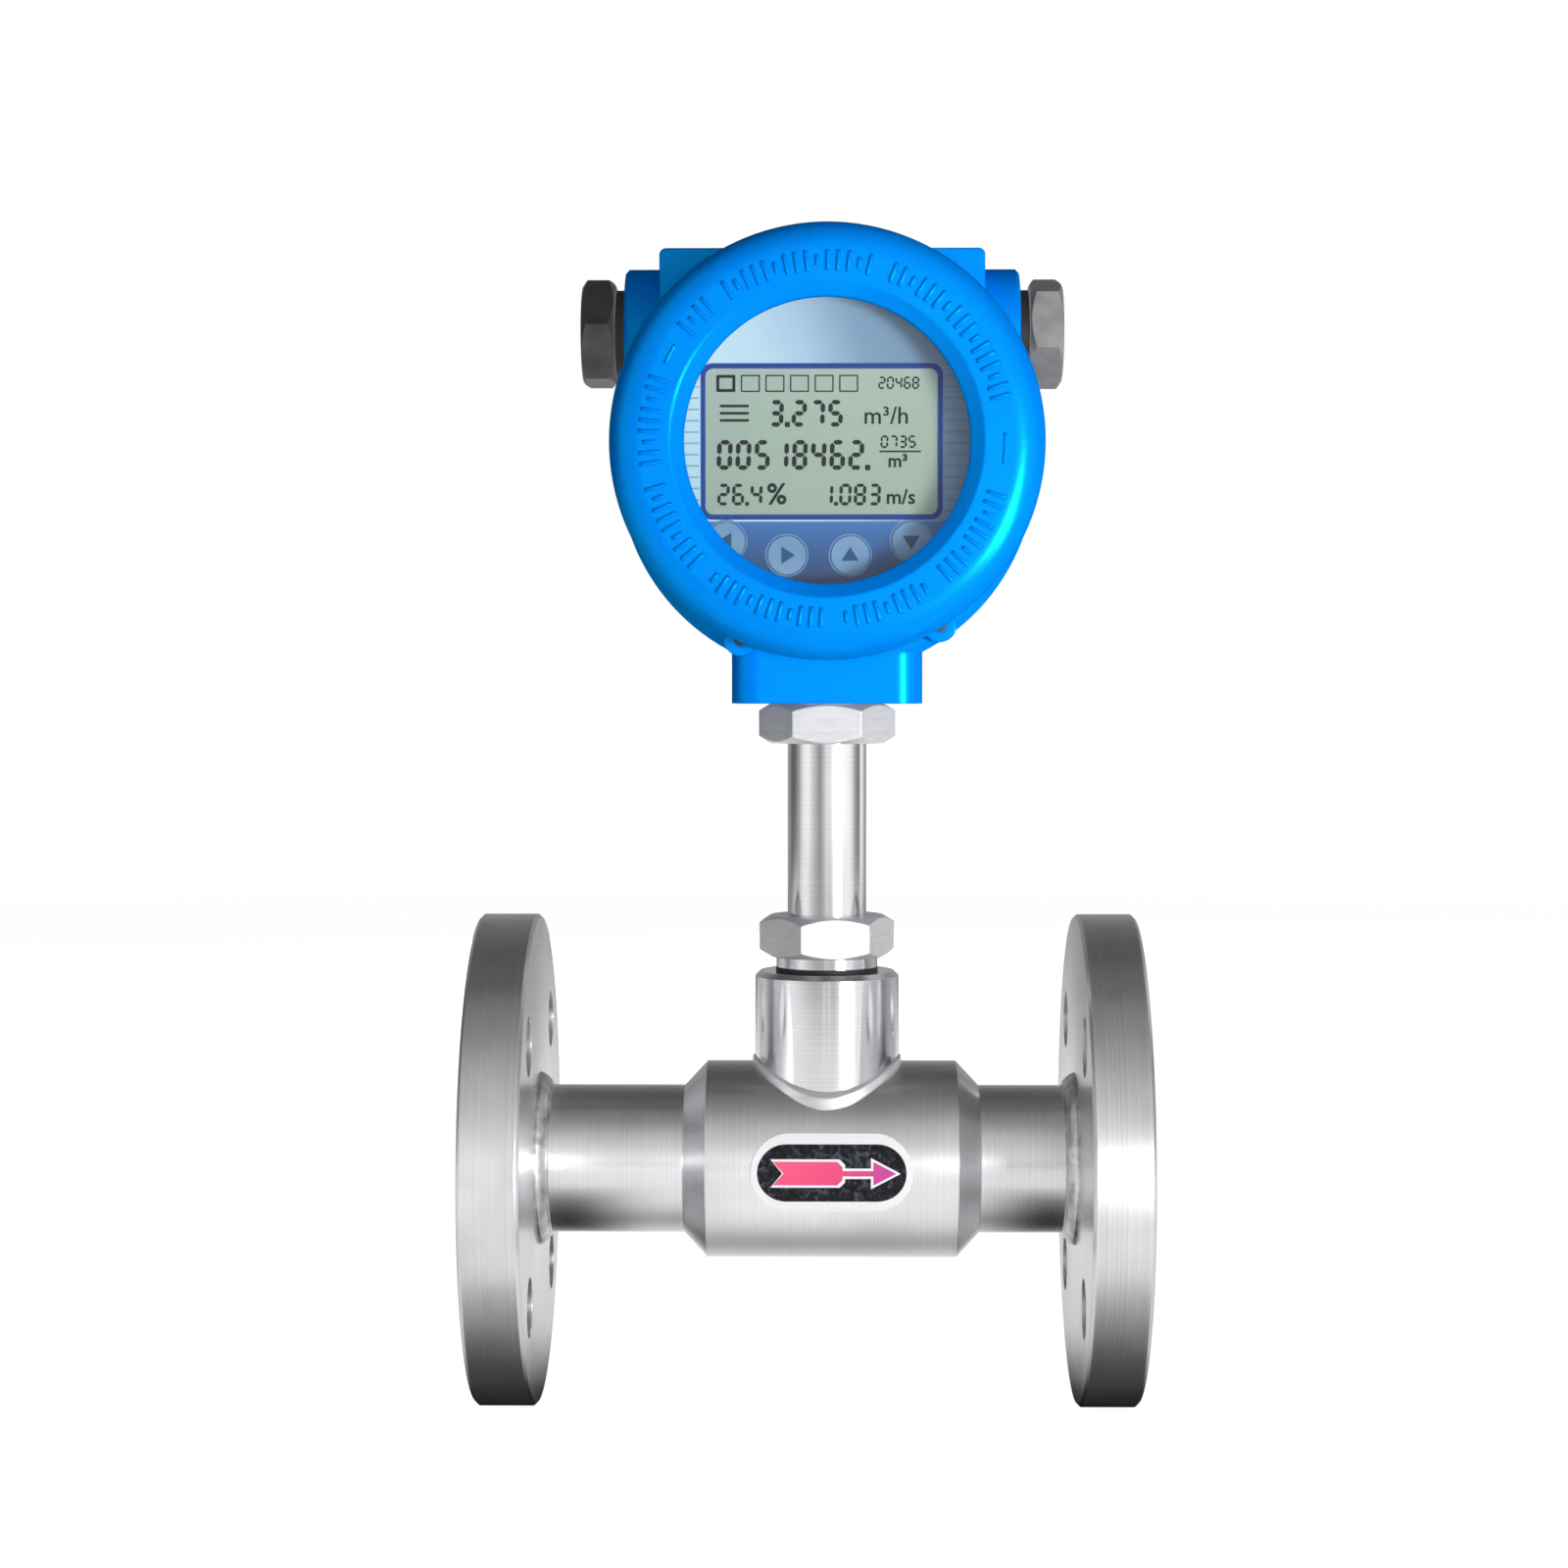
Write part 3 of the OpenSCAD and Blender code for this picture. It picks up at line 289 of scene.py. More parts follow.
def mouldedPlastic(name, light, dark, roughness, grain=0.8, edge=0.2, bump=0.2):
    # Injection moulded plastic or rubber: near flat colour with the mould's fine grain
    material, tree, shader = newMaterial(name)
    coords = objectCoords(tree)
    tone = addNode(tree, "ShaderNodeTexNoise", Vector=coords, Scale=1 / toneSize, Detail=3.0)
    shadeBy(tree, shader, tone.outputs["Fac"], [(0.3, dark), (0.7, light)],
            (roughness - 0.05, roughness + 0.05))
    grains = addNode(tree, "ShaderNodeTexNoise", Vector=coords, Scale=1 / grain, Detail=2.0)
    tree.links.new(roundedEdges(tree, edge * mm, grains.outputs["Fac"], bump), shader.inputs["Normal"])
    return material


def castMetal(name, light, dark, roughness, metallic=1.0, edge=0.4):
    # Machined and plated metal with light handling marks
    material, tree, shader = newMaterial(name)
    coords = objectCoords(tree)
    wear = addNode(tree, "ShaderNodeTexNoise", Vector=coords, Scale=1 / wearSize, Detail=3.0, Roughness=0.55)
    shadeBy(tree, shader, wear.outputs["Fac"], [(0.3, dark), (0.7, light)],
            (roughness + 0.08, roughness - 0.06))
    shader.inputs["Metallic"].default_value = metallic
    tree.links.new(roundedEdges(tree, edge * mm, wear.outputs["Fac"], 0.2), shader.inputs["Normal"])
    return material


# Weld metal: dull silver with warm and grey patches
weldBead = weldMetal()
# Stoved enamel: strong even blue with a cyan sheen
blueEnamel = enamel("stovedBlueEnamel", "#0086f8", "#007df0")
# Nitrile rubber seals: nearly black and matt
blackRubber = mouldedPlastic("blackNitrileRubber", "#1d1d1f", "#121214", 0.6)
# Silicone jacket of the leads: dark grey with a soft shine
leadJacket = mouldedPlastic("greySiliconeJacket", "#3a3b3f", "#2b2c30", 0.5)
# Polyamide of the terminal block: mid green and satin
terminalPlastic = mouldedPlastic("greenPolyamide", "#2f8a5c", "#26754d", 0.42)
# Polyamide bushing: black with a slight shine
bushingPlastic = mouldedPlastic("blackPolyamide", "#2b2b2f", "#202024", 0.45)
# Key film: pale blue, smoother than the mouldings
buttonPlastic = mouldedPlastic("paleKeyFilm", "#86a9c8", "#7299c0", 0.32, bump=0.06)
# Turned brass: warm yellow, dulled in patches by handling
ferruleBrass = castMetal("turnedBrass", "#d8b368", "#b08a45", 0.3)
# Cover lock and earth screws: dark blue grey with half a gloss, painted dark as the shade of their notches
screwPaintedShade = castMetal("screwWithPaintedShade", "#5a7487", "#34495c", 0.36)
# Anodised aluminium ring: mid grey and satin
retainerMetal = castMetal("anodisedAluminiumRing", "#8f9298", "#74777d", 0.38)
# Plug of the left entry: dark warm grey, the plug's metal darkened by painted shade from the drum
plugPaintedShade = castMetal("plugWithPaintedShade", "#5e5d5c", "#4a494a", 0.34, 0.7)
# Nickel plated plug: light warm grey
plugLight = castMetal("nickelPlatedPlug", "#b8b7b6", "#98979a", 0.3, 0.8)


def printInk(name, code, roughness):
    # Screen printed ink: flat, slightly uneven film
    material, tree, shader = newMaterial(name)
    cover = addNode(tree, "ShaderNodeTexNoise", Vector=objectCoords(tree), Scale=1 / inkSize,
                    Detail=2.0)
    base = srgb(code)
    thin = [min(1.0, c * 1.12 + 0.01) for c in base[:3]] + [1.0]
    colour = addNode(tree, "ShaderNodeMix", {"data_type": "RGBA"}, Factor=cover.outputs["Fac"],
                     i6=base, i7=thin)
    tree.links.new(colour.outputs[2], shader.inputs["Base Color"])
    shader.inputs["Roughness"].default_value = roughness
    shader.inputs["Specular IOR Level"].default_value = 0.2
    return material


# Frame of the display: deep blue and nearly matt
inkBlue = printInk("blueScreenInk", "#083c8c", 0.55)
# Arrow plate and outline of its arrow: clean white
inkWhite = printInk("whiteScreenInk", "#f4f4f6", 0.35)
# Liquid crystal segments: near black without shine
lcdInk = printInk("darkDisplaySegment", "#0a0f0a", 0.7)
# Marks on the keys: mid blue
buttonInk = printInk("blueKeyInk", "#274f74", 0.4)
# Rings round the keys: pale blue
keyRingInk = printInk("paleKeyRingInk", "#6d97c9", 0.4)


film = {
    "spread": 90,           # mm over which the silver, its painted shade and the band change
    "lean": 300,            # mm of height that shift the silver by its whole ramp
    "linesFrom": 36.0,      # mm from the middle to the fine lines
    "lineHalfPitch": 1.65,  # mm; the lines lie twice this apart
    "lineHalfWidth": 0.28,  # mm
    "lineShare": 0.55,      # how far a line covers the silver
    "bandTop": -22.9,       # mm above the head's middle
    # silver of the film, darker towards the right: painted shade from the cover's window rim
    "silverAndShade": [(0.05, "#c4ecf8"), (0.2, "#dcf6fb"), (0.38, "#d3ebf4"), (0.55, "#b6d2e4"),
               (0.72, "#86a4bc"), (0.95, "#7892ac")],
    # blue printed band, darkest at its bottom: painted shade under the window's rim
    "bandAndShade": [(0.02, "#0a2a56"), (0.1, "#184478"), (0.2, "#2b64a2"), (0.247, "#3874b8")],
    "line": "#5d7186",
}


def faceFilm():
    # Printed polyester film: silver that darkens to the right with painted shade from the window's rim, a
    # blue band below the display, darkest at its bottom with painted shade, and fine lines at both sides of
    # it
    material, tree, shader = newMaterial("printedFaceFilm")
    place = addNode(tree, "ShaderNodeSeparateXYZ", Vector=objectCoords(tree, (lcdMidX, 0, headZ)))
    x, z = place.outputs["X"], place.outputs["Z"]
    sideways = addNode(tree, "ShaderNodeMath", "MULTIPLY_ADD", i0=x, i1=1 / film["spread"], i2=0.5)
    upwards = addNode(tree, "ShaderNodeMath", "MULTIPLY_ADD", i0=z, i1=1 / film["spread"], i2=0.5)
    slope = addNode(tree, "ShaderNodeMath", "MULTIPLY_ADD", i0=z, i1=1 / film["lean"], i2=sideways)
    silverAndShade = addNode(tree, "ShaderNodeValToRGB", {"stops": film["silverAndShade"]}, Fac=slope)
    bandAndShade = addNode(tree, "ShaderNodeValToRGB", {"stops": film["bandAndShade"]}, Fac=upwards)
    away = addNode(tree, "ShaderNodeMath", "ABSOLUTE", i0=x)
    side = addNode(tree, "ShaderNodeMath", "GREATER_THAN", i0=away, i1=film["linesFrom"])
    lines = addNode(tree, "ShaderNodeMath", "PINGPONG", i0=z, i1=film["lineHalfPitch"])
    thin = addNode(tree, "ShaderNodeMath", "LESS_THAN", i0=lines, i1=film["lineHalfWidth"])
    line = addNode(tree, "ShaderNodeMath", "MULTIPLY", i0=thin, i1=side)
    cover = addNode(tree, "ShaderNodeMath", "MULTIPLY", i0=line, i1=film["lineShare"])
    lined = addNode(tree, "ShaderNodeMix", {"data_type": "RGBA"}, Factor=cover, i6=silverAndShade,
                    i7=srgb(film["line"]))
    below = addNode(tree, "ShaderNodeMath", "LESS_THAN", i0=z, i1=film["bandTop"])
    mixed = addNode(tree, "ShaderNodeMix", {"data_type": "RGBA"}, Factor=below, i6=lined.outputs[2], i7=bandAndShade)
    tree.links.new(mixed.outputs[2], shader.inputs["Base Color"])
    shader.inputs["Roughness"].default_value = 0.36
    return material


polariser = {
    "tall": 46,             # mm over which the tone changes
    "tone": [(0.0, "#acbaa4"), (0.6, "#b2c0aa"), (1.0, "#bac5b4")],
}


def displayGlass():
    # Polariser over the liquid crystal: grey green, a touch lighter at its top
    material, tree, shader = newMaterial("displayPolariser")
    place = addNode(tree, "ShaderNodeSeparateXYZ", Vector=objectCoords(tree, (lcdMidX, 0, lcdMidZ)))
    height = addNode(tree, "ShaderNodeMath", "MULTIPLY_ADD", i0=place.outputs["Z"], i1=1 / polariser["tall"],
                     i2=0.5)
    colour = addNode(tree, "ShaderNodeValToRGB", {"stops": polariser["tone"]}, Fac=height)
    tree.links.new(colour.outputs[0], shader.inputs["Base Color"])
    shader.inputs["Roughness"].default_value = 0.22
    return material


def boardMask():
    # Green solder mask over copper: tracks show as slightly lighter lines on a 2.5 mm grid
    material, tree, shader = newMaterial("greenSolderMask")
    coords = objectCoords(tree)
    cells = addNode(tree, "ShaderNodeTexBrick", {"offset": 0.5}, Vector=coords, Scale=1 / 5.0,
                    Mortar_Size=0.03, Color1=srgb("#17603a"), Color2=srgb("#1b6b41"), Mortar=srgb("#3d9a63"))
    tree.links.new(cells.outputs["Color"], shader.inputs["Base Color"])
    shader.inputs["Roughness"].default_value = 0.35
    return material


glassSheen = 0.018          # share of the window that mirrors


def clearGlass():
    # Thin coated window of tempered glass: clear, with a faint sheen, and no shadow
    material, tree, shader = newMaterial("temperedWindowGlass")
    shader.inputs["Base Color"].default_value = srgb("#f4fafc")
    shader.inputs["Roughness"].default_value = 0.0
    shader.inputs["IOR"].default_value = 1.0
    shader.inputs["Transmission Weight"].default_value = 1.0
    clear = addNode(tree, "ShaderNodeBsdfTransparent", Color=srgb("#fbfdfe"))
    light = addNode(tree, "ShaderNodeLightPath")
    unseen = addNode(tree, "ShaderNodeMath", "MAXIMUM", i0=light.outputs["Is Shadow Ray"],
                     i1=light.outputs["Is Diffuse Ray"])
    sheen = addNode(tree, "ShaderNodeBsdfGlossy", Color=srgb("#e8f6ff"), Roughness=0.02)
    pane = addNode(tree, "ShaderNodeMixShader", Fac=glassSheen, i1=shader, i2=sheen)
    either = addNode(tree, "ShaderNodeMixShader", Fac=unseen, i1=pane, i2=clear)
    putOnOutput(tree, either)
    return material


filmPrint = faceFilm()
displaySheet = displayGlass()
solderMask = boardMask()
windowGlass = clearGlass()

finishes = {
    "inlet_flange": flangeSteel, "outlet_flange": flangeSteel, "inlet_pipe": pipeSteel,
    "outlet_pipe": pipeSteel, "inlet_weld": weldBead, "outlet_weld": weldBead, "flow_body": pipeSteel,
    "sensor_boss": stemSteel, "boss_weld": nutSteel, "arrow_plate": inkWhite, "gland_gasket": blackRubber,
    "gland_body": stemSteel, "gland_ferrule": ferruleBrass, "gland_nut": nutSteel, "stem_tube": stemSteel,
    "probe_tube": sensorSteel, "sensor_guard": sensorSteel, "heated_sensor": sensorSteel,
    "reference_sensor": sensorSteel, "sensor_lead": leadJacket, "lock_nut": nutSteel,
    "swivel_seal": blackRubber, "housing": blueEnamel, "feedthrough": bushingPlastic,
    "faceplate": filmPrint, "lcd_module": displaySheet, "display_board": solderMask,
    "main_board": solderMask, "board_standoffs": ferruleBrass, "board_screws": screwSteel,
    "board_lead": leadJacket, "power_board": solderMask, "terminal_block": terminalPlastic,
    "terminal_screws": screwSteel, "cover_lock_screw": screwPaintedShade, "earth_screw": screwPaintedShade,
    "front_cover_seal": blackRubber, "front_cover": blueEnamel, "window_glass": windowGlass,
    "glass_gasket": blackRubber, "glass_retainer": retainerMetal, "rear_cover_seal": blackRubber,
    "rear_cover": blueEnamel, "left_plug_seal": blackRubber, "left_plug": plugPaintedShade,
    "right_plug_seal": blackRubber, "right_plug": plugLight, "button_left": buttonPlastic,
    "button_next": buttonPlastic, "button_up": buttonPlastic, "button_enter": buttonPlastic,
}
for nodeName, finish in finishes.items():
    nodes[nodeName].data.materials.clear()
    nodes[nodeName].data.materials.append(finish)
print("materials assigned")


# Helpers for the added pieces
def finishPiece(name, mesh, material, body):
    # Writes a bmesh to a new object that rides on a body
    bmesh.ops.remove_doubles(mesh, verts=mesh.verts, dist=1e-7)
    bmesh.ops.recalc_face_normals(mesh, faces=mesh.faces)
    data = bpy.data.meshes.new(name)
    mesh.to_mesh(data)
    mesh.free()
    piece = bpy.data.objects.new(name, data)
    bpy.context.scene.collection.objects.link(piece)
    data.materials.append(material)
    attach(piece, body)
    return piece


def smoothPiece(piece):
    # Shades every face of a piece smoothly
    for polygon in piece.data.polygons:
        polygon.use_smooth = True


def thicken(mesh, faces, push):
    # Extrudes faces and moves the new ones by a vector
    grown = bmesh.ops.extrude_face_region(mesh, geom=faces)["geom"]
    bmesh.ops.translate(mesh, verts=[v for v in grown if isinstance(v, bmesh.types.BMVert)], vec=push)


def flatOutline(mesh, points, depth):
    # A closed outline in X and Z, filled at y = 0 and given a depth towards +Y
    verts = [mesh.verts.new((x, 0, z)) for x, z in points]
    thicken(mesh, [mesh.faces.new(verts)], (0, depth, 0))


def roundedOutline(width, height, radius, steps=8):
    # Points of a rounded rectangle about the origin
    points = []
    for cx, cz, start in ((1, 1, 0), (-1, 1, 90), (-1, -1, 180), (1, -1, 270)):
        for i in range(steps + 1):
            angle = math.radians(start + 90 * i / steps)
            points.append((cx * (width / 2 - radius) + radius * math.cos(angle),
                           cz * (height / 2 - radius) + radius * math.sin(angle)))
    return points


def frameOutline(mesh, outer, inner, depth):
    # A flat frame between two outlines with the same number of points
    rings = [[mesh.verts.new((x, 0, z)) for x, z in line] for line in (outer, inner)]
    count = len(outer)
    faces = [mesh.faces.new((rings[0][i], rings[0][(i + 1) % count], rings[1][(i + 1) % count], rings[1][i]))
             for i in range(count)]
    thicken(mesh, faces, (0, depth, 0))


# Seven segment figures on the display
segmentStrokes = {"a": (0, 2, 1, 2), "b": (1, 2, 1, 1), "c": (1, 1, 1, 0), "d": (0, 0, 1, 0),
                  "e": (0, 0, 0, 1), "f": (0, 1, 0, 2), "g": (0, 1, 1, 1)}
litSegments = {"0": "abcdef", "1": "bc", "2": "abged", "3": "abgcd", "4": "fgbc", "5": "afgcd",
               "6": "afgedc", "7": "abc", "8": "abcdefg", "9": "abcdfg"}


figureShape = {
    # shares of a stroke's thickness
    "endGap": 0.12, "dot": 1.2, "dotCorner": 0.3, "dotShift": 0.3, "afterDot": 1.1, "afterFigure": 1.75,
    "slant": 0.04,          # lean of a figure for its height
    "fontSize": 1.38,       # font size for a height of 1
}


def drawStroke(mesh, x0, z0, x1, z1, thick, depth):
    # One segment: a bar with pointed ends
    run = Vector((x1 - x0, z1 - z0))
    step = run.normalized()
    side = Vector((-step.y, step.x)) * thick / 2
    a = Vector((x0, z0)) + step * thick * figureShape["endGap"]
    b = Vector((x1, z1)) - step * thick * figureShape["endGap"]
    tip = step * thick / 2
    points = [a, a + tip + side, b - tip + side, b, b - tip - side, a + tip - side]
    flatOutline(mesh, [(p.x, p.y) for p in points], depth)


def drawFigures(mesh, text, left, base, height, depth, stroke, width):
    # A line of figures, spaced like a display's; stroke and width are shares of the height; returns its end
    shape = figureShape
    wide, thick = height * width, height * stroke
    x = left
    for sign in text:
        if sign == ".":
            dot = roundedOutline(thick * shape["dot"], thick * shape["dot"], thick * shape["dotCorner"], 3)
            flatOutline(mesh, [(px + x - thick * shape["dotShift"], pz + base) for px, pz in dot], depth)
            x += thick * shape["afterDot"]
            continue
        for key in litSegments[sign]:
            x0, z0, x1, z1 = segmentStrokes[key]
            low, high = base + z0 * height / 2, base + z1 * height / 2
            drawStroke(mesh, x + x0 * wide + (low - base) * shape["slant"], low,
                       x + x1 * wide + (high - base) * shape["slant"], high, thick, depth)
        x += wide + thick * shape["afterFigure"]
    return x


def drawText(mesh, text, left, base, height, depth, weight):
    # Plain letters from the built in font, thickened by the weight and made a mesh before they are placed
    curve = bpy.data.curves.new("letters", "FONT")
    curve.body = text
    curve.size = height * figureShape["fontSize"]
    curve.resolution_u = 3
    curve.offset = weight
    holder = bpy.data.objects.new("letters", curve)
    bpy.context.scene.collection.objects.link(holder)
    bpy.context.view_layer.update()
    data = bpy.data.meshes.new_from_object(holder)
    part = bmesh.new()
    part.from_mesh(data)
    thicken(part, part.faces[:], (0, 0, -depth))
    part.transform(Matrix.Translation((left, 0, base)) @ Matrix.Rotation(math.pi / 2, 4, "X"))
    part.to_mesh(data)
    part.free()
    mesh.from_mesh(data)
    bpy.data.objects.remove(holder)
    bpy.data.curves.remove(curve)
    bpy.data.meshes.remove(data)


display = {
    "rise": 0.06 * mm,              # how far the printed marks stand off the glass
    # status boxes: left, middle height, width, height and pitch in mm, their number, and the line widths
    # of the first and of the others
    "boxes": (-30.9, 17.0, 5.6, 5.0, 7.2),
    "boxCount": 6,
    "boxLines": (0.9 * mm, 0.4 * mm),
    # figures: text, left, base and height in mm from the display's middle, then stroke and width as shares
    # of the height
    "top": ("20468", 16.8, 15.6, 3.1, 0.17, 0.5),
    "flow": ("3.275", -15.0, 5.0, 6.5, 0.2, 0.47),
    "total": ("00518462.", -30.2, -7.6, 7.4, 0.18, 0.43),
    "small": ("0735", 17.5, -1.6, 3.1, 0.19, 0.54),
    "percent": ("26.4", -30.2, -18.2, 5.4, 0.18, 0.48),
    "speed": ("1.083", 0.2, -18.2, 5.4, 0.18, 0.48),
    # units: text, left, base, height and weight in mm, and the figures after which left is counted
    "units": (("m³/h", 12.2, 5.2, 5.2, 0.05, None), ("m³", 19.4, -7.4, 3.9, 0.12, None),
              ("%", 0.2, -18.2, 6.2, 0.16, "percent"), ("m/s", 0.4, -18.2, 4.4, 0.1, "speed")),
    # rule between the small figures and their unit: width, height, middle sideways and middle height
    "rule": (12.2 * mm, 0.5 * mm, 23.0 * mm, -2.9 * mm),
    # row marker: width and height of a bar, middle sideways, then lowest middle height and pitch in mm
    "bars": (8.6 * mm, 0.8 * mm, -25.6 * mm, 6.2, 2.1),
    "barCount": 3,
}


def makeDisplay():
    # Everything that the liquid crystal shows, as one thin piece
    rise = display["rise"]
    mesh = bmesh.new()
    left, mid, wide, high, pitch = (v * mm for v in display["boxes"])
    for i in range(display["boxCount"]):
        line = display["boxLines"][0 if i == 0 else 1]
        shift = left + wide / 2 + i * pitch
        outer = [(x + shift, z + mid) for x, z in roundedOutline(wide, high, 0.3 * mm, 2)]
        inner = [(x + shift, z + mid)
                 for x, z in roundedOutline(wide - 2 * line, high - 2 * line, 0.1 * mm, 2)]
        frameOutline(mesh, outer, inner, rise)
    ends = {}
    for key in ("top", "flow", "total", "small", "percent", "speed"):
        text, x, base, tall, stroke, width = display[key]
        ends[key] = drawFigures(mesh, text, x * mm, base * mm, tall * mm, rise, stroke, width)
    for text, x, base, tall, weight, after in display["units"]:
        start = ends[after] if after else 0.0
        drawText(mesh, text, start + x * mm, base * mm, tall * mm, rise, weight * mm)
    ruleWide, ruleHigh, ruleX, ruleZ = display["rule"]
    rule = roundedOutline(ruleWide, ruleHigh, 0.1 * mm, 2)
    flatOutline(mesh, [(x + ruleX, z + ruleZ) for x, z in rule], rise)
    barWide, barHigh, barX, barLow, barPitch = display["bars"]
    for i in range(display["barCount"]):
        bar = roundedOutline(barWide, barHigh, 0.3 * mm, 2)
        flatOutline(mesh, [(x + barX, z + (barLow + barPitch * i) * mm) for x, z in bar], rise)
    mesh.transform(Matrix.Translation((lcdMidX, lcdFront - rise, lcdMidZ)))
    finishPiece("display_figures", mesh, lcdInk, "head")


displayFrame = {
    "outer": (71.0 * mm, 45.8 * mm, 3.4 * mm),      # width, height and corner radius
    "inner": (68.2 * mm, 42.7 * mm, 2.4 * mm),
    "depth": 0.08 * mm,
}


def makeDisplayFrame():
    # Blue printed frame round the display's cut-out
    depth = displayFrame["depth"]
    mesh = bmesh.new()
    frameOutline(mesh, roundedOutline(*displayFrame["outer"]), roundedOutline(*displayFrame["inner"]), depth)
    mesh.transform(Matrix.Translation((lcdMidX, faceFront - depth, lcdMidZ)))
    finishPiece("display_frame_print", mesh, inkBlue, "head")


keyMarks = {
    "button_left": ("left_key", [(-0.9, 0), (0.6, 0.95), (0.6, -0.95)]),
    "button_next": ("next_key", [(0.9, 0), (-0.6, 0.95), (-0.6, -0.95)]),
    "button_up": ("up_key", [(0, 0.9), (0.95, -0.6), (-0.95, -0.6)]),
    "button_enter": ("enter_key", [(0, -0.9), (0.95, 0.6), (-0.95, 0.6)]),
}


keyPrint = {
    "mark": 2.7 * mm,
    "depth": 0.05 * mm,
    "ring": (12.7 * mm, 12.7 * mm, 6.34 * mm),      # width, height and corner radius
    "ringInner": (11.9 * mm, 11.9 * mm, 5.94 * mm),
}


def makeKeyMarks():
    # A small triangle printed on each button, and a thin ring printed round it
    size, depth = keyPrint["mark"], keyPrint["depth"]
    for nodeName, (body, shape) in keyMarks.items():
        low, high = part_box(nodeName)
        middle = ((low.x + high.x) / 2, low.y, (low.z + high.z) / 2)
        mesh = bmesh.new()
        flatOutline(mesh, [(x * size, z * size) for x, z in shape], depth)
        mesh.transform(Matrix.Translation((middle[0], middle[1] - depth, middle[2])))
        finishPiece(nodeName + "_mark", mesh, buttonInk, body)
        mesh = bmesh.new()
        frameOutline(mesh, roundedOutline(*keyPrint["ring"]), roundedOutline(*keyPrint["ringInner"]), depth)
        mesh.transform(Matrix.Translation((middle[0], faceFront - depth, middle[2])))
        finishPiece(nodeName + "_ring_print", mesh, keyRingInk, "head")


makeDisplay()
makeDisplayFrame()
makeKeyMarks()
print("display and keys made")


# Raised marks on the cover's ring: groups of plain strokes and two short ribs
coverMarks = {
    "radius": 51.4 * mm,      # middle of the strokes
    "length": 6.4 * mm,       # radial size of a stroke
    "width": 1.4 * mm,
    "height": 0.8 * mm,       # how far they stand up
    "sink": 0.4 * mm,
    "pitch": 3.4,             # degrees between strokes
    "groupGap": 4.6,          # degrees left free between groups
    "upper": (128, (4, 15, 17)),    # first angle, leftwards from the bottom, and strokes in each group
    "lower": (-72, (10, 9, 12, 9, 9)),
    "short": 0.55,            # share of the length that every fourth stroke has, from the third on
    "draft": (0.7, 1, 0.9),   # size of a stroke's front against its foot
    "rounding": 0.18,         # share of the width
    "ribs": ((115, 122), (268, 278)),
    "ribSteps": 14,
    # rib's section in mm: radial place and place towards the back
    "ribSection": [(-0.6, 0.4), (-0.45, -0.4), (-0.2, -0.58), (0.2, -0.58), (0.45, -0.4), (0.6, 0.4)],
}


def raisedBar(mesh, length, width, height):
    # One cast bar about the origin, with drafted sides and rounded edges towards the reader
    made = bmesh.ops.create_cube(mesh, size=1.0)["verts"]
    bmesh.ops.scale(mesh, verts=made, vec=(width, height, length))
    front = [v for v in made if v.co.y < 0]
    bmesh.ops.scale(mesh, verts=front, vec=coverMarks["draft"])
    edges = {e for v in front for e in v.link_edges}
    bmesh.ops.bevel(mesh, geom=list(edges), offset=width * coverMarks["rounding"], segments=2, profile=0.5,
                    affect="EDGES", material=-1)


def markAngles(first, groups):
    # Angles of the strokes of one row of groups, in degrees
    angles = []
    for count in groups:
        angles += [first + coverMarks["pitch"] * i for i in range(count)]
        first = angles[-1] + coverMarks["pitch"] + coverMarks["groupGap"]
    return angles


def makeCoverMarks():
    # All strokes and ribs of the ring as one piece
    mesh = bmesh.new()
    settings = coverMarks
    depth = settings["height"] + settings["sink"]
    for index, angle in enumerate(markAngles(*settings["lower"]) + markAngles(*settings["upper"])):
        bar = bmesh.new()
        share = settings["short"] if index % 4 == 2 else 1.0
        raisedBar(bar, settings["length"] * share, settings["width"], depth)
        bar.transform(Matrix.Rotation(math.radians(angle), 4, "Y")
                      @ Matrix.Translation((0, -depth / 2 + settings["sink"], -settings["radius"])))
        data = bpy.data.meshes.new("bar")
        bar.to_mesh(data)
        bar.free()
        mesh.from_mesh(data)
        bpy.data.meshes.remove(data)
    for first, last in settings["ribs"]:
        start = [mesh.verts.new((0, y * mm, -settings["radius"] + x * mm)) for x, y in settings["ribSection"]]
        face = mesh.faces.new(start)
        bmesh.ops.transform(mesh, matrix=Matrix.Rotation(math.radians(first), 4, "Y"), verts=start)
        bmesh.ops.spin(mesh, geom=[face], axis=(0, 1, 0), cent=(0, 0, 0), angle=math.radians(last - first),
                       steps=settings["ribSteps"], use_merge=False, use_duplicate=False)
    mesh.transform(Matrix.Translation((stemX, coverFront, headZ)))
    piece = finishPiece("front_cover_marks", mesh, blueEnamel, "front_cover_group")
    smoothPiece(piece)


makeCoverMarks()
print("cover marks made")

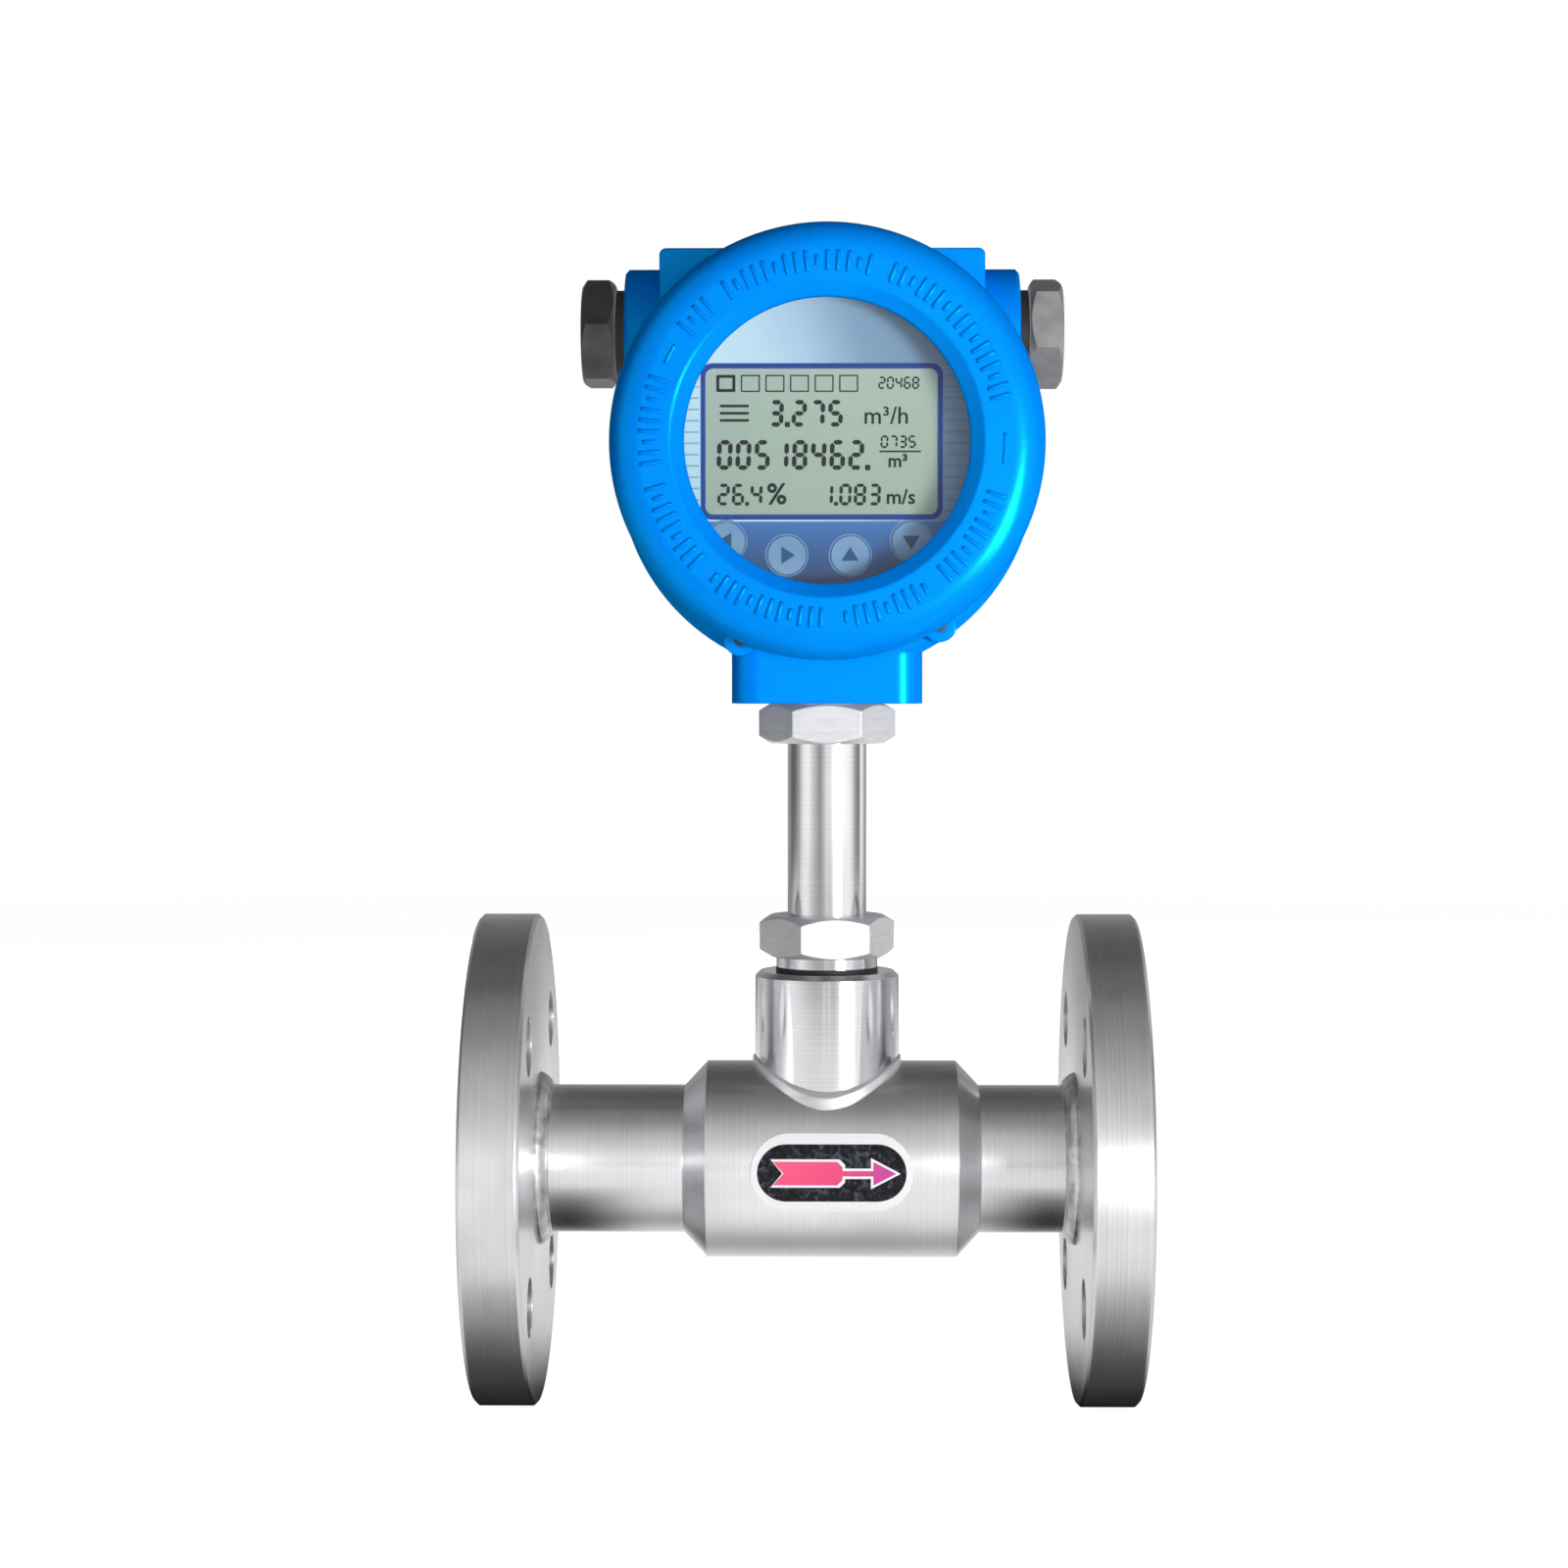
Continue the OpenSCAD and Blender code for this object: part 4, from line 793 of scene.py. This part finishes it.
# Arrow plate print, bent round the flow body
plateLow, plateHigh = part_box("arrow_plate")
arrowPlate = {
    "midX": (plateLow.x + plateHigh.x) / 2,
    "radius": -plateLow.y,
    "field": (44.6 * mm, 17.4 * mm),     # black field
    "skin": 0.06 * mm,
    "cuts": 16,                          # cuts above and below the middle, so that the print bends
    "cutPitch": 0.8,                     # mm
    "reflectionStreak": 3.2,                       # mm across the painted reflection streaks in the black
    # black print, and the greys of its painted reflections
    "black": [(0.42, "#0c0c10"), (0.54, "#202228"), (0.66, "#4a4f58")],
}
arrowShape = {
    # mm from the plate's middle, downstream
    "tail": -17.6, "notch": -14.4, "shaftEnd": 3.2, "headStart": 12.4, "tip": 19.2,
    # half heights in mm of tail, shaft and head, and the cut at the tail block's front corners
    "wide": 3.5, "thin": 0.8, "barb": 3.5, "slope": 1.6,
    "outline": 0.75,                     # mm of white round it
    "growth": (1.6, 1.8, 0.6),           # of barb, tip and notch, so that the white stays even at the slopes
    "fade": 40,                          # mm over which the ink changes
    "ink": [(0.1, "#ff5a86"), (0.55, "#f2497f"), (0.95, "#c63fa0")],
}


def bendRoundBody(mesh, radius):
    # Wraps a flat print round the flow body: height becomes arc length
    for vert in mesh.verts:
        angle = vert.co.z / radius
        reach = radius - vert.co.y
        vert.co.y = -reach * math.cos(angle)
        vert.co.z = reach * math.sin(angle)


def bentPrint(name, points, lift, material):
    # A flat outline cut into strips, bent round the flow body and lifted off the plate
    mesh = bmesh.new()
    flatOutline(mesh, points, arrowPlate["skin"])
    bmesh.ops.triangulate(mesh, faces=mesh.faces[:])
    for z in [i * arrowPlate["cutPitch"] * mm for i in range(-arrowPlate["cuts"], arrowPlate["cuts"] + 1)]:
        bmesh.ops.bisect_plane(mesh, geom=mesh.verts[:] + mesh.edges[:] + mesh.faces[:], plane_co=(0, 0, z),
                               plane_no=(0, 0, 1))
    bmesh.ops.translate(mesh, verts=mesh.verts, vec=(arrowPlate["midX"], -lift, 0))
    bendRoundBody(mesh, arrowPlate["radius"])
    finishPiece(name, mesh, material, "flow_tube")


def blackWithPaintedReflections():
    # Black printed behind a glossy film, with cloudy grey streaks as painted reflections where the film isn't
    # flat
    material, tree, shader = newMaterial("blackPrintWithPaintedReflections")
    paintedReflections = addNode(tree, "ShaderNodeTexNoise", Vector=objectCoords(tree), Scale=1 / arrowPlate["reflectionStreak"],
                    Detail=2.5, Roughness=0.6, Distortion=1.4)
    shades = addNode(tree, "ShaderNodeValToRGB", {"stops": arrowPlate["black"]}, Fac=paintedReflections.outputs["Fac"])
    tree.links.new(shades.outputs[0], shader.inputs["Base Color"])
    shader.inputs["Roughness"].default_value = 0.3
    shader.inputs["Specular IOR Level"].default_value = 0.2
    return material


def arrowInk():
    # Two screens of ink that meet in a soft fade, pink at the tail and magenta at the head
    material, tree, shader = newMaterial("pinkArrowInk")
    place = addNode(tree, "ShaderNodeSeparateXYZ", Vector=objectCoords(tree, (arrowPlate["midX"], 0, 0)))
    fade = addNode(tree, "ShaderNodeMath", "MULTIPLY_ADD", i0=place.outputs["X"], i1=1 / arrowShape["fade"],
                   i2=0.5)
    colour = addNode(tree, "ShaderNodeValToRGB", {"stops": arrowShape["ink"]}, Fac=fade)
    tree.links.new(colour.outputs[0], shader.inputs["Base Color"])
    shader.inputs["Roughness"].default_value = 0.35
    return material


def arrowPoints(grow):
    # Notched arrow that points downstream; grow widens it for the white outline
    tail, notch, shaftEnd, headStart, tip = [
        arrowShape[key] for key in ("tail", "notch", "shaftEnd", "headStart", "tip")]
    wide, thin, barb, slope = [arrowShape[key] for key in ("wide", "thin", "barb", "slope")]
    barbGrowth, tipGrowth, notchGrowth = arrowShape["growth"]
    half = [(tail - grow, wide + grow), (shaftEnd + grow - slope, wide + grow),
            (shaftEnd + grow, wide + grow - slope), (shaftEnd + grow, thin + grow),
            (headStart - grow, thin + grow), (headStart - grow, barb + barbGrowth * grow),
            (tip + tipGrowth * grow, 0)]
    mirrored = [(x, -z) for x, z in reversed(half[:-1])]
    return [(x * mm, z * mm) for x, z in half + mirrored + [(notch - grow * notchGrowth, 0)]]


def makeArrowPrint():
    # Black field, white outline and the arrow, each a skin further out
    field = arrowPlate["field"]
    skin = arrowPlate["skin"]
    fieldOutline = roundedOutline(field[0], field[1], field[1] / 2 - 0.01 * mm, 12)
    bentPrint("arrow_plate_field", fieldOutline, skin, blackWithPaintedReflections())
    bentPrint("arrow_plate_outline", arrowPoints(arrowShape["outline"]), 2 * skin, inkWhite)
    bentPrint("arrow_plate_arrow", arrowPoints(0), 3 * skin, arrowInk())


makeArrowPrint()
print("arrow plate printed")


# Rippled weld beads over the plain ones
beads = {
    "ripples": 46,            # round each pipe
    "swell": 0.14 * mm,
    "turns": 184,             # faces round a pipe
    "sink": 0.05 * mm,        # how far the bead's legs reach into flange and pipe
    # section in shares of the leg: along the pipe from the flange, and out from the pipe
    "section": [(0.0, 0.0), (0.0, 1.0), (0.32, 0.86), (0.62, 0.6), (0.86, 0.32), (1.02, 0.0)],
    # a point stays where its distances from flange and pipe multiply to no more than this
    "still": 0.2 * mm * mm,
    "slant": 0.7,             # share of the swell that goes along and outwards
    "sweep": 3.0,             # radians of the wave's phase from the pipe to the bead's full height
    "hollow": 0.4,            # share of the swell that lies below the plain bead
}


def beadRing(mesh, flangeFace, way, pipeRadius, leg):
    # Fillet bead round the pipe: a rounded section spun about the pipe axis, then rippled
    sink = beads["sink"]
    points = [(flangeFace + way * x * leg, pipeRadius - sink + r * leg) for x, r in beads["section"]]
    points[0] = (flangeFace - way * sink, pipeRadius - sink)
    verts = [mesh.verts.new((x, 0, r)) for x, r in points]
    edges = [mesh.edges.new((verts[i], verts[(i + 1) % len(verts)])) for i in range(len(verts))]
    bmesh.ops.spin(mesh, geom=verts + edges, axis=(1, 0, 0), cent=(0, 0, 0), angle=math.tau,
                   steps=beads["turns"], use_merge=True, use_duplicate=False)
    for vert in mesh.verts:
        radius = math.hypot(vert.co.y, vert.co.z)
        away = (radius - pipeRadius) * abs(vert.co.x - flangeFace)
        if away <= beads["still"]:
            continue
        angle = math.atan2(vert.co.z, vert.co.y)
        wave = abs(math.sin(angle * beads["ripples"] / 2 + beads["sweep"] * (radius - pipeRadius) / leg))
        push = beads["swell"] * (wave - beads["hollow"])
        vert.co.x += way * push * beads["slant"]
        vert.co.y *= 1 + push * beads["slant"] / radius
        vert.co.z *= 1 + push * beads["slant"] / radius


def makeWelds():
    # One bead behind each flange
    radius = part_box("inlet_pipe")[1].z
    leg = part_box("inlet_weld")[1].z - radius
    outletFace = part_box("outlet_flange")[0].x
    for name, face, way in (("inlet_weld", flangeHigh.x, 1), ("outlet_weld", outletFace, -1)):
        mesh = bmesh.new()
        beadRing(mesh, face, way, radius, leg)
        piece = finishPiece(name + "_bead", mesh, weldBead, "flow_tube")
        smoothPiece(piece)


makeWelds()
print("welds made")

# Stage: pale floor, and a light tent with a white front, open sides and a dark roof
studio = {
    "floorLevel": flangeLow.z,
    "floorDrop": 0.2 * mm,                  # air under the flanges
    "floorRadius": 2.2,
    "worldLight": 0.13,                     # what matt surfaces get from all round
    "tentLight": 1.15,
    "floorGrey": (0.8, 0.3),                # what lamps light up: under other rays, and for the camera
    "floorGlow": 0.95,                      # what the floor sends to the camera by itself
    "flangeShadowReach": (40.0, 18.0),            # mm from a flange where the painted shadow under it starts and is full
    "lampsAimAt": 0.14,                     # height in metres
    "castings": ("housing", "front_cover", "rear_cover", "front_cover_marks"),
    # place, width and height in metres, watts, seen in the gloss, lights the castings alone
    "lamps": {
        "key": ((0.78, -1.1, 0.03), (0.32, 0.2), 10.0, True, False),
        "front": ((0.35, -1.4, 0.1), (0.8, 0.6), 5.5, False, False),
        "edge": ((0.52, -0.4, 0.03), (0.1, 0.1), 0.6, True, True),
        "fill": ((-1.0, -1.0, 0.5), (0.9, 0.9), 0.5, False, False),
        "back": ((-0.3, 1.6, 0.3), (1.0, 0.8), 15.0, False, False),
    },
    # grey levels that the gloss sees, against degrees up from the front or round to the right
    "roof": [(0, "#f0f0f0"), (9, "#e6e6e6"), (28, "#c8c8c8"), (47, "#acacac"), (57, "#919191"),
             (68, "#767676"), (80, "#636363"), (92, "#505050"), (104, "#565656"), (114, "#4c4c4c"),
             (124, "#484848"), (150, "#666666"), (180, "#a0a0a0")],
    "sides": [(-180, "#8c8c8c"), (-142, "#909090"), (-125, "#585858"), (-108, "#585858"), (-90, "#9a9a9a"),
              (-72, "#ebebeb"), (-56, "#f8f8f8"), (-40, "#c4c4c4"), (-20, "#707070"), (-6, "#b8b8b8"),
              (20, "#fbfbfb"), (60, "#ffffff"), (72, "#f5f5f5"), (90, "#a4a4a4"), (108, "#606060"),
              (118, "#f0f0f0"), (128, "#f0f0f0"), (141, "#a0a0a0"), (180, "#8c8c8c")],
    # grey levels of the floor in the gloss, against mm behind the meter's axis, with painted shade in the dip
    # round the axis; the second is painted shadow under the flanges
    "floorGloss": [(-2200, "#a0a0a0"), (-1250, "#a8a8a8"), (-950, "#f4f4f4"), (-75, "#ffffff"),
                   (-43, "#f0f0f0"), (-30, "#d6d6d6"), (-13, "#b5b5b5"), (0, "#aeaeae"), (30, "#d0d0d0"),
                   (90, "#ececec"), (300, "#f4f4f4"), (600, "#ffffff"), (1200, "#989898"),
                   (2200, "#787878")],
    "flangeShadowGloss": [(-120, "#f4f4f4"), (-100, "#c4c4c4"), (-75, "#989898"), (-62, "#747474"),
                    (-51, "#585858"), (-30, "#343434"), (-16, "#1c1c1c"), (16, "#1c1c1c"),
                    (60, "#7a7a7a"), (120, "#d8d8d8"), (300, "#f4f4f4")],
}


def shadesOver(tree, value, stops):
    # Grey levels against a value in the units of the stops
    low, high = stops[0][0], stops[-1][0]
    spread = addNode(tree, "ShaderNodeMapRange", Value=value, From_Min=low, From_Max=high)
    shares = [((at - low) / (high - low), code) for at, code in stops]
    return addNode(tree, "ShaderNodeValToRGB", {"stops": shares}, Fac=spread)


def straightRays(tree):
    # The ray kinds, and 1 for what the camera sees by itself or through the window
    path = addNode(tree, "ShaderNodeLightPath")
    straight = addNode(tree, "ShaderNodeMath", "MAXIMUM", i0=path.outputs["Is Camera Ray"],
                       i1=path.outputs["Is Transmission Ray"])
    return path, straight


def lightTent():
    # White for the camera and through glass; the gloss sees the tent's own shades
    world = bpy.data.worlds.new("lightTent")
    bpy.context.scene.world = world
    world.use_nodes = True
    tree = world.node_tree
    tree.nodes.clear()
    path, straight = straightRays(tree)
    light = addNode(tree, "ShaderNodeMapRange", Value=straight, To_Min=studio["worldLight"], To_Max=1.0)
    plain = addNode(tree, "ShaderNodeBackground", Color=(1, 1, 1, 1), Strength=light)
    way = addNode(tree, "ShaderNodeTexCoord")
    axes = addNode(tree, "ShaderNodeSeparateXYZ", Vector=way.outputs["Generated"])
    front = addNode(tree, "ShaderNodeMath", "MULTIPLY", i0=axes.outputs["Y"], i1=-1.0)
    width = addNode(tree, "ShaderNodeMath", "ABSOLUTE", i0=axes.outputs["X"])
    height = addNode(tree, "ShaderNodeMath", "ABSOLUTE", i0=axes.outputs["Z"])
    turns = [addNode(tree, "ShaderNodeMath", "ARCTAN2", i0=side, i1=front)
             for side in (height, axes.outputs["X"])]
    up, aside = [addNode(tree, "ShaderNodeMath", "DEGREES", i0=turn) for turn in turns]
    spread = addNode(tree, "ShaderNodeMath", "ADD", i0=width, i1=height)
    total = addNode(tree, "ShaderNodeMath", "ADD", i0=spread, i1=0.02)      # never zero straight ahead
    share = addNode(tree, "ShaderNodeMath", "DIVIDE", i0=width, i1=total)
    shade = addNode(tree, "ShaderNodeMix", {"data_type": "RGBA"}, Factor=share,
                    i6=shadesOver(tree, up, studio["roof"]), i7=shadesOver(tree, aside, studio["sides"]))
    tent = addNode(tree, "ShaderNodeBackground", Color=shade.outputs[2], Strength=studio["tentLight"])
    both = addNode(tree, "ShaderNodeMixShader", Fac=path.outputs["Is Glossy Ray"], i1=plain, i2=tent)
    addNode(tree, "ShaderNodeOutputWorld", Surface=both)


def paleFloor():
    # Round floor: near white for the camera; in the gloss, greys with painted shade under the meter and
    # painted shadow under the flanges
    mesh = bmesh.new()
    bmesh.ops.create_circle(mesh, cap_ends=True, segments=64, radius=studio["floorRadius"])
    data = bpy.data.meshes.new("floor")
    mesh.to_mesh(data)
    mesh.free()
    floor = bpy.data.objects.new("floor", data)
    floor.location = (0, 0, studio["floorLevel"] - studio["floorDrop"])
    bpy.context.scene.collection.objects.link(floor)
    material = bpy.data.materials.new("paleStudioFloor")
    material.use_nodes = True
    tree = material.node_tree
    tree.nodes.clear()
    path, straight = straightRays(tree)
    greyUnseen, greySeen = studio["floorGrey"]
    grey = addNode(tree, "ShaderNodeMapRange", Value=straight, To_Min=greyUnseen, To_Max=greySeen)
    matt = addNode(tree, "ShaderNodeBsdfDiffuse", Color=grey)
    glow = addNode(tree, "ShaderNodeMath", "MULTIPLY", i0=straight, i1=studio["floorGlow"])
    lift = addNode(tree, "ShaderNodeEmission", Color=(1, 1, 1, 1), Strength=glow)
    seen = addNode(tree, "ShaderNodeAddShader", i0=matt, i1=lift)
    place = addNode(tree, "ShaderNodeSeparateXYZ", Vector=objectCoords(tree))
    near = []
    reach, full = studio["flangeShadowReach"]
    for low, high in (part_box("inlet_flange"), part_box("outlet_flange")):
        offset = addNode(tree, "ShaderNodeMath", "SUBTRACT", i0=place.outputs["X"],
                         i1=(low.x + high.x) / 2 / mm)
        away = addNode(tree, "ShaderNodeMath", "ABSOLUTE", i0=offset)
        near.append(addNode(tree, "ShaderNodeMapRange", Value=away, From_Min=reach, From_Max=full))
    # share of the painted shadow under the flanges
    under = addNode(tree, "ShaderNodeMath", "MAXIMUM", i0=near[0], i1=near[1])
    shade = addNode(tree, "ShaderNodeMix", {"data_type": "RGBA"}, Factor=under,
                    i6=shadesOver(tree, place.outputs["Y"], studio["floorGloss"]),
                    i7=shadesOver(tree, place.outputs["Y"], studio["flangeShadowGloss"]))
    gloss = addNode(tree, "ShaderNodeEmission", Color=shade.outputs[2], Strength=1.0)
    both = addNode(tree, "ShaderNodeMixShader", Fac=path.outputs["Is Glossy Ray"], i1=seen, i2=gloss)
    addNode(tree, "ShaderNodeOutputMaterial", Surface=both)
    data.materials.append(material)


def addLamp(name, target, place, size, watts, inGloss, castingsOnly):
    # A soft box aimed at the target
    data = bpy.data.lights.new(name, "AREA")
    data.shape = "RECTANGLE"
    data.size, data.size_y = size
    data.energy = watts
    lamp = bpy.data.objects.new(name, data)
    lamp.visible_camera = False
    lamp.visible_glossy = inGloss
    if castingsOnly:
        lamp.light_linking.receiver_collection = castings
    lamp.location = place
    lamp.rotation_euler = (Vector(target) - Vector(place)).to_track_quat("-Z", "Y").to_euler()
    bpy.context.scene.collection.objects.link(lamp)


lightTent()
paleFloor()
castings = bpy.data.collections.new("castings")
for name in studio["castings"]:
    castings.objects.link(bpy.data.objects[name])
# The bare steel keeps its neutral grey, as in the photograph: nothing of the head shows in its gloss
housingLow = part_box("housing")[0]
for piece in bpy.context.scene.objects:
    if piece.type == "MESH" and min(corner[2] for corner in piece.bound_box) > housingLow.z - mm:
        piece.visible_glossy = False
for lampName, lampFacts in studio["lamps"].items():
    addLamp(lampName + "Lamp", (stemX, 0, studio["lampsAimAt"]), *lampFacts)
print("stage set")
